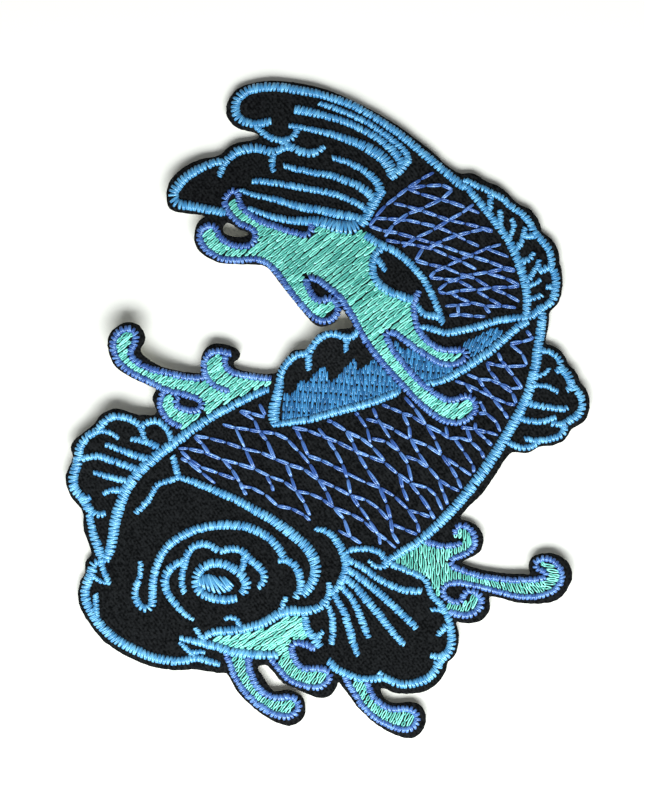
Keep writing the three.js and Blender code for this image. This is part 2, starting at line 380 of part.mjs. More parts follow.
    stroke([0.8, 1], [[-24.4, -40], [-23.5, -40.9], [-22.6, -41.7], [-22, -42.2]]),
    stroke([0.7, 0.9], [[-20.7, -41.2], [-21.5, -41], [-22.4, -41.1], [-23.2, -41.1]]),
    stroke(1, [[-38.4, -25.9], [-37.9, -27.2], [-37.4, -28.4], [-37, -29.5]]),
    stroke([0.6, 0.9], [[-36.7, -29.4], [-38.2, -29.2], [-39.4, -28.5], [-40.2, -27.9]]),
    stroke([0.9, 1.1], [[-39.2, -31.2], [-39.2, -32.6], [-39.2, -34], [-39, -35.4]]),
  ],
  mouth_threads: [
    stroke([0.8, 1.4, 1.5, 1.6, 1.5], CHIN_LOWER_EDGE),
    stroke(0.9, [[-22.4, -36.9], [-21.8, -37.9], [-21, -38.8], [-20.5, -39.6]]),
  ],
  chin_upper_threads: [
    stroke([1.3, 1.5, 1.6, 1.7, 1.5, 0.9], CHIN_UPPER_EDGE),
    stroke([0.7, 1], [[-17.5, -35.5], [-16.5, -35.1], [-15.5, -35.4], [-14.9, -36.3], [-14.4, -37.1]]),
    stroke([0.9, 1], [[-7, -31.7], [-7.4, -32.7], [-7.8, -33.6], [-7.8, -34.4]]),
  ],
  chin_end_threads: [
    stroke([1.2, 1.2, 1.5, 1.6], CHIN_END_EDGE),
    stroke([1.3, 0.8], [[-2.3, -38.8], [-1.4, -38.3], [-0.8, -37.4]]),
  ],
  cheek_swirl_threads: [
    stroke([0.8, 1.2, 1.2, 1.4, 1.3, 1.4, 1.5, 1.5, 1.3], [
      [-31.7, -25.7], [-31.6, -27.3], [-31.9, -28.8], [-32.5, -30.1], [-32.6, -31.4], [-32.2, -32.6],
      [-31.4, -33.5], [-30.4, -33.7], [-29.7, -33], [-29.6, -31.7], [-29.6, -30], [-29.4, -28.3],
      [-29, -26.7], [-28.4, -25.2], [-27.6, -23.9], [-26.5, -22.6], [-25.2, -21.7], [-23.5, -20.8],
      [-21.5, -20.1], [-19.5, -19.7], [-17.5, -19.5], [-15.5, -19.6], [-13.5, -19.9], [-11.8, -20.6],
      [-10.2, -21.5], [-9, -22.6], [-8, -23.9], [-7.3, -25],
    ]),
    stroke([0.9, 1.2, 1.4, 1.3], [
      [-8.3, -25.6], [-7.1, -25.5], [-5.9, -26.1], [-5, -27.2], [-4.6, -28.5], [-4.5, -29.8],
      [-4.8, -31], [-5.5, -31.8],
    ]),
  ],
  gill_cover_threads: [
    stroke([1, 1.2, 1.4, 1.7, 1.9, 1.8, 1.5], [
      [-25.6, -11.4], [-24.4, -11.6], [-22.8, -12.2], [-21, -12.9], [-19, -13.7], [-17, -14.6],
      [-15, -15.5], [-13, -16.6], [-11, -17.7], [-9.4, -18.6], [-8, -19.6], [-6.5, -20.7], [-5, -21.9],
      [-3.7, -23.1], [-2.7, -24.5], [-2.1, -26], [-2, -27.5], [-2.4, -28.9], [-3, -30], [-3.7, -30.9],
    ]),
    stroke(1.1, [[-26.2, -7.9], [-25.8, -9.2], [-25.5, -10.4], [-25.4, -11.6]]),
    stroke(1, [
      [-25.2, -11.4], [-26.3, -11.9], [-27.8, -12.3], [-29, -12.9], [-29.6, -14.1], [-30.5, -15.5],
      [-31.5, -16.7], [-32.5, -17.5],
    ]),
  ],
  eye_cloud_threads: [
    stroke([1, 1.2, 1.3, 1.1, 1.2, 1.3, 1.3, 1], [
      [-24.2, -31.1], [-24.6, -29.7], [-24.6, -28.2], [-24.3, -26.6], [-24, -25.1], [-23.3, -23.8],
      [-22.3, -23], [-21.1, -22.7], [-19.9, -23], [-18.9, -23.6], [-18.2, -24], [-17.2, -23.7],
      [-15.9, -23.6], [-14.7, -23.8], [-13.8, -24.6], [-13, -25.5], [-11.9, -26.3], [-11, -27.2],
      [-10.7, -28.3], [-11, -29.4], [-11.8, -30.1],
    ]),
    stroke([1.1, 1.5, 1.3, 1.1, 0.6], [
      [-24.3, -25.6], [-25.5, -26.1], [-26.8, -27.1], [-27.5, -28.5], [-27.5, -29.8], [-27.1, -31],
      [-26.3, -32.2], [-25.4, -33.3], [-24.5, -34.3], [-23.5, -35.1], [-22.7, -35.6],
    ]),
    stroke([1.3, 0.9], [[-14.1, -24.8], [-14.1, -25.7], [-14.3, -26.4]]),
  ],
  eye_ring_threads: [
    stroke([1.4, 1.5, 1.6, 1.5, 1.6], [
      [-15.3, -32], [-17.2, -32.2], [-19, -32], [-20.7, -31.5], [-21.9, -30.5], [-22.3, -29],
      [-21.9, -27.6], [-20.8, -26.5], [-19.2, -26], [-17.5, -26.2], [-16, -26.9], [-14.8, -27.8],
      [-13.9, -28.9], [-13.8, -30.2], [-14.6, -31.2],
    ]),
  ],
  pupil_threads: [
    stroke([1.4, 3.2, 3.6, 3.2, 0.9], [
      [-21, -29.3], [-20, -29.5], [-18.8, -29.6], [-17.6, -29.4], [-16.4, -29.3],
    ]),
  ],
  pectoral_ray_threads: [
    stroke([0.7, 1.3, 1.4, 1.5, 1.4, 1.1], [
      [-2.1, -20.1], [-0.5, -20.5], [0.8, -21.3], [1.7, -22.4], [2.4, -23.6], [2.9, -24.8],
      [3.2, -26.1], [3.1, -27.4], [2.6, -28.6], [2, -29.7], [1.2, -30.7],
    ]),
    stroke([1.1, 1.2], [[2.9, -25], [4.4, -25.9], [6.2, -26.9], [7.8, -28.1], [9.6, -29.2], [11.4, -30],
      [13.2, -30.6], [15, -30.7], [16, -30.7]]),
    stroke([1.2, 1.3, 1.2], [[3.1, -26.9], [5, -28.1], [7, -29.6], [9, -31.3], [11, -33.1], [13.1, -35.1],
      [15.1, -37]]),
    stroke([1.2, 1.4, 1.3, 1], [[2.7, -28.3], [4.4, -29.7], [6, -31.4], [7.6, -33.3], [9, -35],
      [10.3, -36.7], [11.6, -38.3], [13, -39.8]]),
    stroke([1, 1.2, 1], [[2.2, -29.8], [3.6, -31.3], [4.7, -33], [5.4, -34.6], [6, -36.2],
      [6.6, -37.6], [6.9, -38.6]]),
    stroke([1, 1.3, 1.3, 0.9], [[1, -31.1], [1.8, -32.5], [2.7, -34.1], [3.3, -35.8], [3.8, -37.4],
      [4.2, -39], [4.7, -40.4], [5.1, -41.6]]),
  ],
  pectoral_short_ray_threads: [
    stroke([0.9, 1.2, 1], [[0.2, -33.6], [0.8, -35], [0.9, -36.5], [0.9, -38], [0.6, -39.8]]),
  ],
  pectoral_outline_threads: [
    stroke([1, 1.1, 1, 1.2, 1.6, 1.4, 1.2, 1.4], [
      [3.4, -24], [4.8, -23.6], [6.5, -23.6], [8, -23.8], [9.1, -24.4], [9.9, -25.5], [11, -26.3],
      [12.4, -26.8], [13.9, -27.4], [15.3, -28], [16.6, -28.8], [17.1, -29.9], [17.5, -31.1],
      [18.3, -32.1], [19.2, -33], [19.9, -34.2], [20.5, -35.5], [20.8, -36.9], [21, -38.3],
      [21, -39.7], [20.6, -40.9], [19.6, -41.9], [18.8, -42.9], [18.4, -44], [17.5, -45],
      [16.3, -45.8], [14.9, -46.3], [13.3, -46.5], [11.7, -46.3], [10.5, -45.7], [9.3, -45.3],
      [7.9, -45.6], [6.3, -45.6], [4.7, -45.3], [3.3, -44.8], [1.9, -44.1], [0.9, -43.3],
      [0.2, -42.4],
    ]),
    stroke([0.7, 1.2], [[17.5, -33.9], [18.7, -33.8], [19.8, -34]]),
    stroke([0.6, 1.5], [[18.6, -38.3], [19.5, -37.3], [20.5, -36.4]]),
    stroke([0.9, 1.4], [[17.4, -41.5], [18.6, -41.9], [19.8, -41.6]]),
    stroke([0.7, 1.1], [[8.7, -44.4], [9.3, -45]]),
  ],
  pectoral_top_ray_threads: [
    stroke([0.6, 1, 0.8], [[6.9, -25.5], [7.9, -26.4], [8.9, -26.7], [9.9, -26.5]]),
  ],
};

// ---- Periwinkle satin lines round the splashes ----
const SPLASH_LINES = {
  upper_splash_edge_threads: [
    stroke([1.1, 1.1, 1.2, 1.1, 1.1], UPPER_SPLASH_EDGE),
  ],
  left_splash_edge_threads: [
    stroke(1.15, LEFT_SPLASH_EDGE),
    stroke([1.1, 1.1], LEFT_CURL_EDGE),
    stroke(1.1, LEFT_CURL_INNER_EDGE),
    stroke([1, 1.1], LEFT_LOOP_EDGE),
  ],
  right_curl_edge_threads: [stroke([1.2, 0.9], RIGHT_CURL_EDGE)],
  right_splash_edge_threads: [stroke([1, 1.05, 1, 1, 1.05, 1, 1.3], RIGHT_SPLASH_EDGE)],
  chin_curl_left_edge_threads: [stroke([1, 1.2, 1.1, 1.3], CHIN_CURL_LEFT_EDGE)],
  chin_curl_right_edge_threads: [stroke([1, 1.1, 1.1, 1.2], CHIN_CURL_RIGHT_EDGE)],
  bottom_curl_edge_threads: [stroke([1, 1.1, 1.1], BOTTOM_CURL_EDGE)],
};

// ---- Rows of running stitches that draw the scales; each point is the end of one stitch ----
const STALK_SCALES = [
  [[18.1, 40.2], [15.8, 39], [13.6, 37.5], [12, 36.2], [9.9, 34.6], [8.1, 32.6]],
  [[13.7, 37.5], [16.7, 37.9], [19.4, 38], [21.2, 37.2], [19.3, 35.6], [16.4, 34.2], [13.7, 33.2],
    [11.1, 31.3], [9.7, 29.2]],
  [[13.5, 37.4], [15.7, 36.5], [18, 35.9], [20.6, 35.2], [23.4, 34.2], [25.8, 33.2]],
  [[11.2, 34.9], [13.5, 34.4], [16, 33.6], [18.6, 32.8], [20.8, 32], [23.4, 31.4], [25.8, 30.9],
    [28, 30.3]],
  [[8, 32.4], [10.5, 32.3], [13.3, 32.1], [15.7, 31.6], [18.3, 31], [21.1, 29.9], [23.5, 28.6],
    [25.7, 27.6]],
  [[24.8, 34.8], [22.8, 33.3], [20.6, 32.1], [17.9, 30.4], [15, 29.1], [12.7, 27.5]],
  [[8.4, 32.6], [7.1, 31], [9.3, 30.3], [11.9, 29.9], [14.4, 29.2], [17, 28.4], [19.7, 27.6],
    [22.2, 26.7], [24.8, 25.8], [27.4, 25], [29.8, 24.1], [31.8, 23.6]],
  [[9.8, 28.7], [12.4, 28.2], [15, 27.8], [17.9, 27.1], [20.3, 26.1], [22.8, 25], [25.3, 23.7]],
  [[28, 30.2], [26.4, 30.5], [24.3, 30.1], [21.9, 29.5], [19.4, 28.6], [17, 27.3]],
  [[16.2, 27.4], [14.9, 25.2], [17.1, 24.6], [19.8, 24.1], [22.4, 23], [25, 22.2], [27.4, 20.7]],
  [[29.4, 28], [27.6, 27.5], [25.1, 26.5], [22.7, 25.5], [20.3, 24.3], [18.2, 23.4], [17.3, 22.4]],
  [[26.8, 27.3], [28.6, 26.6], [30.8, 25.8]],
  [[17.3, 22.3], [19.6, 22.1], [22.2, 21.8], [24.7, 20.5]],
  [[31.8, 23.4], [29.6, 23.8], [27.2, 23.3], [24.6, 22.9], [22.4, 22.3], [20.3, 21.5], [18.7, 20.2]],
  [[27, 23.1], [30.2, 22.2], [32.7, 20.9], [30.5, 20.7], [27.8, 20.7], [25.3, 20.3], [22.3, 20.1],
    [20, 19.6], [18.8, 19.9]],
  [[21, 19.7], [22.2, 18.9], [24.1, 18.2], [26.8, 17.6], [29.5, 17.5], [32, 17.2]],
  [[25.3, 20], [27.5, 18.7], [29.4, 17.6]],
  [[27.9, 20.5], [30.3, 19.5], [32.6, 18.3]],
  [[19.9, 17.5], [22, 17.7], [24.3, 17.9]],
  [[22.1, 17.7], [22.2, 16.2]],
  [[20.6, 15.9], [22.6, 16.1], [24.7, 15.8], [26.8, 15.7]],
  [[26.6, 17.5], [27.5, 16.3]],
];
const BODY_SCALES = [
  [[-17.8, -2.5], [-15.6, -3.1], [-13.2, -3.4], [-11.2, -3.7], [-9, -4], [-6.7, -5.1], [-4.9, -7],
    [-3, -9.2], [-1.6, -11.7], [-0.2, -13.8], [0.9, -16.4]],
  [[-22.8, -4.4], [-20, -4.8], [-17.1, -5.6], [-14.6, -6.5], [-11.2, -7.3], [-8.8, -8.4],
    [-6.5, -9.3], [-4, -10.1], [-1.6, -11.8], [1.2, -13.1], [3.8, -14.5], [6.5, -15.3], [8.7, -16.8],
    [10.3, -18.7]],
  [[-25.2, -6.6], [-23.5, -6.6], [-20.8, -7.2], [-18, -8.4], [-15.1, -9.2], [-12.3, -10.1],
    [-9.8, -11.3], [-7.3, -12.2], [-5.2, -13.8], [-3, -14.2], [-0.8, -15.2], [1.1, -16.6], [4, -17.7],
    [6.2, -18.9], [8.2, -20.8], [10, -22.1], [11.6, -23.5]],
  [[-24.8, -8.2], [-23.6, -8.8], [-21.1, -10.8], [-18.9, -12.6]],
  [[-24.8, -7], [-23.2, -8.5], [-21.5, -9.7], [-18.5, -10.8], [-15.6, -11.8]],
  [[-14.9, -12.9], [-12.8, -13.2], [-10.6, -14.4], [-8.5, -16.3], [-6.1, -16.8], [-3.9, -17.9],
    [-2.9, -18.8]],
  [[1.8, -20.4], [4, -21.6], [5.7, -22.7]],
  [[-22.8, -4.3], [-21.2, -5.8], [-19.9, -7.7]],
  [[-15.6, -3.1], [-14.1, -6.2], [-13.4, -7.7], [-12.3, -10.1]],
  [[-17.7, -8.3], [-16.2, -10.1], [-14.8, -12.3], [-14.3, -13.6], [-13.7, -14.5]],
  [[-14.9, -0.2], [-12.4, -1.8], [-11.5, -3.8], [-10.3, -5.2], [-8.9, -8.4]],
  [[-14.8, -0.2], [-12.9, -0.6], [-10.6, -1.3]],
  [[-11.5, 1], [-10.5, -1]],
  [[-10.4, -11.1], [-9.5, -12.7], [-9.2, -13.8]],
  [[-7, -9.1], [-5.3, -13.7], [-3.9, -15.8], [-2.9, -18]],
  [[-5.4, -3.2], [-4.4, -5.1], [-3.3, -7.8], [-1, -8.6], [1.5, -9.8], [4.1, -11.1], [6.6, -12.4],
    [8.9, -13.2], [11.4, -14.7], [13.6, -16.9], [15.2, -19.2], [15.7, -21.4]],
  [[-6, -3], [-3.3, -3.5], [-1, -4.5], [1.7, -5.5], [4.5, -6.9], [7, -7.9], [9.7, -9], [11.9, -10.9],
    [13.9, -12.4], [15.6, -14.4], [17.4, -17.1], [18.2, -18.6]],
  [[-1.6, -3.1], [0.1, -5.1], [1.3, -6.9], [2.5, -9.2], [3.4, -11.7], [4, -14.3], [5.4, -16.5],
    [7.1, -18.8], [8.7, -21.2], [8.9, -22.9]],
  [[-1.1, -1.5], [0.8, -2.1], [3.1, -3.6], [5.6, -4.8], [7.7, -6.4], [9.8, -8.7]],
  [[3.2, -3.7], [4.3, -5.5], [5.3, -7.8], [6.7, -10.1], [8.8, -13.1], [10, -15.9], [10.7, -18.5],
    [11, -20.9], [12.1, -22.7]],
  [[4.4, -0.3], [5.2, -1], [6.6, -3.1], [7.3, -5.8]],
  [[7.6, 0.4], [8.5, -1.5], [10.7, -5], [12.1, -7.1], [13.6, -9.2], [14.3, -12.3]],
  [[6.5, -1.6], [8.6, -2.2], [11.3, -3.4], [13.9, -5], [16.9, -6.1], [19.4, -7.7], [20.8, -9.6],
    [22, -11.6], [22.8, -13.6]],
  [[7.5, -4.9], [9.9, -5.4], [12, -7]],
  [[8.8, 1], [10.6, 0.3], [12.6, -0.6], [14.4, -1.1], [16.7, -2.6], [19.3, -3.9], [20.6, -4.9],
    [22.4, -4.8], [24.3, -5.4]],
  [[13, 2.2], [14.7, 0.3], [16.7, -2.6], [18.3, -5.2], [19.3, -7.5]],
  [[12.8, -0.8], [13.8, -2.8], [14, -4.9], [15.4, -7.3], [17.1, -9.8], [18.9, -11.9], [20.8, -13.1],
    [22.5, -13.9]],
  [[13.2, -7.9], [15.3, -8.6], [17, -9.8]],
  [[18.9, -12], [19.8, -14.7], [20.4, -16.3]],
  [[14, -12.5], [16.9, -13.2], [18.4, -14.6], [19.6, -17.2]],
  [[20, -2.7], [20.4, -4.8]],
  [[21.5, -5], [23.1, -7.1], [24.6, -9.3], [24.9, -11.2]],
  [[20.1, -8.2], [22.5, -9.9], [24.8, -11.5]],
  [[22.7, -3], [24.9, -3.3], [26.9, -3.8], [29.3, -4.5]],
  [[23.5, -3.1], [24.4, -5.5], [26, -7], [26.7, -8.8]],
  [[25, -2.2], [25, -3.5], [26.9, -5.1], [28.3, -6.6]],
  [[28.6, -2.1], [29.5, -4.3]],
  [[21.4, 4.9], [23.4, 4.3], [25.9, 3.1], [28.1, 2], [30.2, 1.1], [31.9, 0.7]],
  [[23.6, 6], [25.5, 5.2], [27.8, 5], [29.3, 4.3], [31, 3.6], [33, 3.7]],
  [[29.3, 4.3], [31.3, 2.8], [32, 0.9]],
  [[26.9, 8], [28.4, 7.6], [30.2, 7.3], [31.6, 7.4], [33.8, 7.5]],
  [[26.9, 8], [27.5, 6.4], [29, 4.7]],
  [[30.1, 7.4], [31.5, 5.7], [33, 3.6]],
  [[28.9, 9.6], [29.5, 8.2], [30.4, 7.3]],
  [[34.8, 12], [33, 11.5], [30.9, 11.1], [33, 9.4], [33.8, 7.5]],
  [[33.7, 13.4], [34.4, 12.4], [34.8, 12]],
  [[23.4, 4.4], [24.5, 2.8], [26, 1.1], [26.8, -0.6], [28.8, -2.3]],
  [[25.5, 5.3], [26.4, 3.8], [28, 1.9], [29.8, -0.3], [30.9, -2]],
  [[25.4, -0.7], [26.9, -0.6]],
  [[11, -19.4], [13.4, -20.4], [15.8, -21.4]],
  [[13.7, -17], [15.5, -17.5], [17.4, -18.2]],
  [[12.2, -11], [12.7, -13.3], [13.6, -15.6]],
  [[1, -16.6], [2.8, -18.5], [3.9, -21.7]],
];

// ---- Filled areas: closed outlines that run along the lines stitched round them ----
const FILL_AREAS = {
  upper_splash_fill_threads: [
    ...UPPER_SPLASH_EDGE.slice(0, 11), ...UPPER_SPLASH_EDGE.slice(14, -2), ...LEAF_LEFT_EDGE.slice(1),
    ...TAIL_ROOT_EDGE,
  ],
  left_splash_fill_threads: [
    ...LEFT_SPLASH_EDGE, ...LEFT_CURL_EDGE.slice(0, 8),
    ...LEFT_CURL_INNER_EDGE, [-10.4, 3.6], [-12.8, 2.4], [-16.5, 0.4], [-20.5, -1.8], [-23.6, -3.6],
    ...LEFT_LOOP_EDGE.slice().reverse(), [-27.4, 2.6], [-26.6, 2.6], [-25.8, 2.4],
  ],
  right_splash_fill_threads: [
    [11.4, -25.6], [13.1, -24.4], [15.2, -23.2], [17.3, -22.7], ...RIGHT_CURL_EDGE.slice(1),
    [23.1, -22], [22.4, -21.3], ...RIGHT_SPLASH_EDGE.slice(0, 46), [19.2, -30.9], [18.6, -31.2],
    [17.8, -31], [17.4, -30], [16.8, -28.6], [15.3, -27.6], [13.5, -26.7],
  ],
  right_low_curl_fill_threads: [
    ...RIGHT_SPLASH_EDGE.slice(47), [20.3, -34], [19.7, -33.2], [19, -32.2],
  ],
  chin_fill_threads: [
    ...CHIN_UPPER_EDGE.slice(0, 11), ...CHIN_END_EDGE.slice(0, -1), [-3.6, -39.4], [-4.9, -39.4],
    [-6.1, -40.6], [-6.6, -41.4], ...CHIN_LOWER_EDGE.slice(4).reverse(),
  ],
  chin_curl_left_fill_threads: CHIN_CURL_LEFT_EDGE,
  chin_curl_right_fill_threads: [...CHIN_CURL_RIGHT_EDGE.slice(1, 19), [-6.3, -41.2], [-8, -42.2]],
  bottom_curl_fill_threads: BOTTOM_CURL_EDGE,
  dorsal_fill_left_threads: [
    [-8.4, -1.9], [-5, -1.4], [0, -0.5], [5, 0.8], [10, 2.4], [13.2, 3.6], [11.8, 5.1], [9.8, 7.4],
    [9.3, 7.2], [8.6, 7.1], [7.8, 8.2], [7.1, 7.4], [6.2, 6.9], [5.2, 6.1], [4.9, 7.3], [4.4, 8.2],
    [4, 7.5], [3.3, 7.1], [2.7, 6.2], [1.6, 5], [0.3, 4.1], [0.1, 5.8], [-0.7, 7], [-1.8, 6.1],
    [-2.7, 5], [-3.3, 4.1], [-3.9, 4.1], [-4.3, 4.8], [-5.1, 3.7], [-5.6, 2.6], [-6.5, 2], [-7, 2.4],
    [-7.8, 2.6],
  ],
  dorsal_fill_middle_threads: [
    [16.6, 3.9], [18.4, 4.6], [20.2, 5.2], [22, 6.2], [23.6, 7.2], [22.8, 8.2], [21.5, 7.7],
    [20, 7.7], [18.5, 8.2], [17.2, 8.9], [16, 9.7], [14.6, 10.6], [13.3, 9.7], [12.6, 9.8], [12, 10.7],
    [11.5, 11.3], [11, 10.9], [10.9, 10.3], [12.5, 8.2], [14.3, 6.1], [15.2, 5.1],
  ],
  dorsal_fill_right_threads: [
    [23.6, 7.4], [25.2, 8.3], [26.8, 9.4], [28.3, 10.5], [29.9, 12], [29.3, 13], [28.4, 13.5],
    [27.2, 13.1], [25.8, 12.3], [24, 11.5], [22.6, 10.7], [22.6, 10], [23.5, 9.4], [22.8, 8.2],
  ],
};
const FILL_FINISHES = {
  dorsal_fill_left_threads: 'midblue',
  dorsal_fill_middle_threads: 'midblue',
  dorsal_fill_right_threads: 'midblue',
};

// ---- Lines whose underside thread is modelled, and the piece each one belongs under ----
const BOBBIN_RUNS = {
  tail_bobbin_threads: SKY_LINES.tail_outline_threads[0],
  tail_ray_bobbin_threads: SKY_LINES.tail_upper_ray_threads[1],
  belly_bobbin_threads: SKY_LINES.belly_outline_threads[0],
  back_bobbin_threads: SKY_LINES.back_outline_threads[0],
  face_bobbin_threads: SKY_LINES.face_outline_threads[0],
  cheek_bobbin_threads: SKY_LINES.cheek_swirl_threads[0],
  eye_bobbin_threads: SKY_LINES.eye_ring_threads[0],
  splash_bobbin_threads: SPLASH_LINES.upper_splash_edge_threads[0],
};

const vector = ([x, y]) => new THREE.Vector2(x, y);

function curveThrough(points, closed) {
  const places = points.map(([x, y]) => new THREE.Vector3(x, y, 0));
  return new THREE.CatmullRomCurve3(places, closed, 'centripetal');
}

// The closed outline with its points joined by a smooth curve, drawn as short chords.
function rounded(outline) {
  const around = curveThrough(outline, true).getPoints(outline.length * CHORDS_PER_SPAN);
  return around.slice(0, -1).map(({ x, y }) => [x, y]);
}

// The line through the points, with a rounded point added in the middle of each span that bends hard.
function smoothed(points) {
  const flat = points.map(vector);
  const curve = curveThrough(points, false);
  const turns = flat.map((p, i) => {
    if (i === 0 || i === flat.length - 1) return 0;
    const before = p.clone().sub(flat[i - 1]);
    const after = flat[i + 1].clone().sub(p);
    return Math.abs(Math.atan2(before.cross(after), before.dot(after)));
  });
  const line = [flat[0]];
  for (let i = 1; i < flat.length; i += 1) {
    if (Math.max(turns[i - 1], turns[i]) > SHARP_TURN) {
      const middle = curve.getPoint((i - 0.5) / (flat.length - 1));
      line.push(new THREE.Vector2(middle.x, middle.y));
    }
    line.push(flat[i]);
  }
  return line;
}

// The unit vector to the left of the line at each of its points.
function sidesOf(line) {
  return line.map((p, i) => {
    const along = line[Math.min(i + 1, line.length - 1)].clone().sub(line[Math.max(i - 1, 0)]).normalize();
    return new THREE.Vector2(-along.y, along.x);
  });
}

// Half the stroke's width at each point of the line, between the widths given from start to end.
function halfWidths(widths, count) {
  return Array.from({ length: count }, (_, i) => {
    const place = (i / Math.max(count - 1, 1)) * (widths.length - 1);
    const low = Math.min(Math.floor(place), widths.length - 1);
    const high = Math.min(low + 1, widths.length - 1);
    return THREE.MathUtils.lerp(widths[low], widths[high], place - low) / 2;
  });
}

function geometryOf(positions, faces) {
  return new THREE.BufferGeometry()
    .setAttribute('position', new THREE.Float32BufferAttribute(positions, 3))
    .setIndex(faces);
}

// A strip swept along part of a line. Its section lists [share of the half width, height] anticlockwise
// when seen with the line running away from the eye.
function strip(line, sides, halves, section, from, to) {
  const positions = [];
  const faces = [];
  const corners = section.length;
  for (let i = from; i <= to; i += 1) {
    for (const [share, height] of section) {
      const reach = -share * halves[i];
      positions.push(line[i].x + sides[i].x * reach, line[i].y + sides[i].y * reach, height);
    }
  }
  for (let i = 0; i < to - from; i += 1) {
    for (let k = 0; k < corners; k += 1) {
      const next = (k + 1) % corners;
      const a = i * corners + k;
      const b = i * corners + next;
      faces.push(a, a + corners, b, b, a + corners, b + corners);
    }
  }
  const last = (to - from) * corners;
  for (let k = 1; k < corners - 1; k += 1) {
    faces.push(0, k, k + 1);
    faces.push(last, last + k + 1, last + k);
  }
  return geometryOf(positions, faces);
}

function toSolid(geometry) {
  const bare = geometry.clone();
  bare.deleteAttribute('normal');
  bare.deleteAttribute('uv');
  const merged = mergeVertices(bare, MERGE_WITHIN);
  return new wasm.Manifold(new wasm.Mesh({
    numProp: 3,
    vertProperties: merged.attributes.position.array,
    triVerts: new Uint32Array(merged.index.array),
  }));
}

const joined = (solids) => solids.reduce((whole, solid) => whole.add(solid));

// One solid for a stroke, swept in short strips so that a line that curls back on itself still joins up.
function strokeSolid({ widths, points }, section, options = {}) {
  const { straight = false, extra = 0, share = 1 } = options;
  const line = straight ? points.map(vector) : smoothed(points);
  const sides = sidesOf(line);
  const halves = halfWidths(widths, line.length).map((half) => half * share + extra);
  const strips = [];
  for (let from = 0; from < line.length - 1; from += STRIP_SPANS) {
    const to = Math.min(from + STRIP_SPANS, line.length - 1);
    strips.push(toSolid(strip(line, sides, halves, section, from, to)));
  }
  return joined(strips);
}

// A roof-shaped section, highest along the middle as a satin column is.
const roof = (base, height) => [[-1, base], [1, base], [0, base + height]];
const slab = (base, top) => [[-1, base], [1, base], [1, top], [-1, top]];

function cutterOf(strokes, options = {}) {
  const section = slab(STITCH_BASE - CUTTER_OVERREACH, STITCH_BASE + CUTTER_OVERREACH);
  return joined(strokes.map((each) => strokeSolid(each, section, { ...options, extra: THREAD_GAP })));
}

// The closed outline without the points on a straight run from the last point kept to the next one.
function bends(outline) {
  const kept = [];
  outline.map(vector).forEach((p, i, all) => {
    const before = kept.at(-1) ?? all.at(-1);
    const run = all[(i + 1) % all.length].clone().sub(before);
    const aside = Math.abs(run.cross(p.clone().sub(before))) / run.length();
    if (aside > STRAIGHT_WITHIN) kept.push(p);
  });
  return kept;
}

function prism(outline, holes, base, height) {
  const shape = new THREE.Shape(bends(outline));
  shape.holes = holes.map((hole) => new THREE.Path(bends(hole)));
  const geometry = new THREE.ExtrudeGeometry(shape, { depth: height, bevelEnabled: false, steps: 1 });
  return geometry.translate(0, 0, base);
}

function meshOf(name, geometry, finish) {
  const flat = geometry.index ? geometry.toNonIndexed() : geometry;
  flat.computeVertexNormals();
  const mesh = new THREE.Mesh(flat, new THREE.MeshStandardMaterial(FINISHES[finish]));
  mesh.name = name;
  return mesh;
}

function geometryFrom(solid) {
  const { numProp, vertProperties, triVerts } = solid.getMesh();
  const positions = [];
  for (let i = 0; i < vertProperties.length; i += numProp) {
    positions.push(vertProperties[i], vertProperties[i + 1], vertProperties[i + 2]);
  }
  return geometryOf(positions, Array.from(triVerts));
}

const patch = new THREE.Group();
patch.name = 'koi_patch';

// Cloth, stabilizer and film share one cut edge.
const cutEdge = rounded(CLOTH_EDGE);
const cutHole = rounded(CLOTH_HOLE);
function addLayer(name, base, height, finish) {
  patch.add(meshOf(name, prism(cutEdge, [cutHole], base, height), finish));
}

// Adds one run of top thread, cut clear of the runs that lie over it.
const laid = [];
function addRun(name, solid, cutter, finish) {
  const box = cutter.boundingBox();
  const touching = laid.filter(({ bounds }) => (
    bounds.min[0] < box.max[0] && bounds.max[0] > box.min[0]
    && bounds.min[1] < box.max[1] && bounds.max[1] > box.min[1]));
  const free = touching.reduce((rest, over) => rest.subtract(over.cutter), solid);
  laid.push({ cutter, bounds: box });
  patch.add(meshOf(name, geometryFrom(free), finish));
}

function addLines(runs, finish) {
  for (const [name, strokes] of Object.entries(runs)) {
    const solid = joined(strokes.map((each) => strokeSolid(each, roof(STITCH_BASE, SATIN_HEIGHT))));
    addRun(name, solid, cutterOf(strokes), finish);
  }
}

function addScales(name, rows) {
  const strokes = rows.map((row) => stroke(RUNNING_WIDTH, row));
  const options = { straight: true };
  const section = roof(STITCH_BASE, RUNNING_HEIGHT);
  const solid = joined(strokes.map((each) => strokeSolid(each, section, options)));
  addRun(name, solid, cutterOf(strokes, options), 'periwinkle');
}

function addFills() {
  for (const [name, outline] of Object.entries(FILL_AREAS)) {
    const solid = toSolid(prism(outline, [], STITCH_BASE, FILL_HEIGHT));
    addRun(name, solid, solid, FILL_FINISHES[name] ?? 'aqua');
  }
}

function addBobbins() {
  const options = { straight: true, share: BOBBIN_SHARE };
  const section = roof(BOBBIN_BASE, BOBBIN_THICKNESS);
  for (const [name, run] of Object.entries(BOBBIN_RUNS)) {
    patch.add(meshOf(name, geometryFrom(strokeSolid(run, section, options)), 'bobbin'));
  }
}

addLayer('heat_seal_film', 0, FILM_THICKNESS, 'adhesive');
addBobbins();
addLayer('stabilizer', STABILIZER_BASE, STABILIZER_THICKNESS, 'backing');
addLayer('twill_ground', TWILL_BASE, TWILL_THICKNESS, 'twill');
addLines(SPLASH_LINES, 'periwinkle');
addLines(SKY_LINES, 'sky');
addScales('stalk_scale_threads', STALK_SCALES);
addScales('body_scale_threads', BODY_SCALES);
addFills();

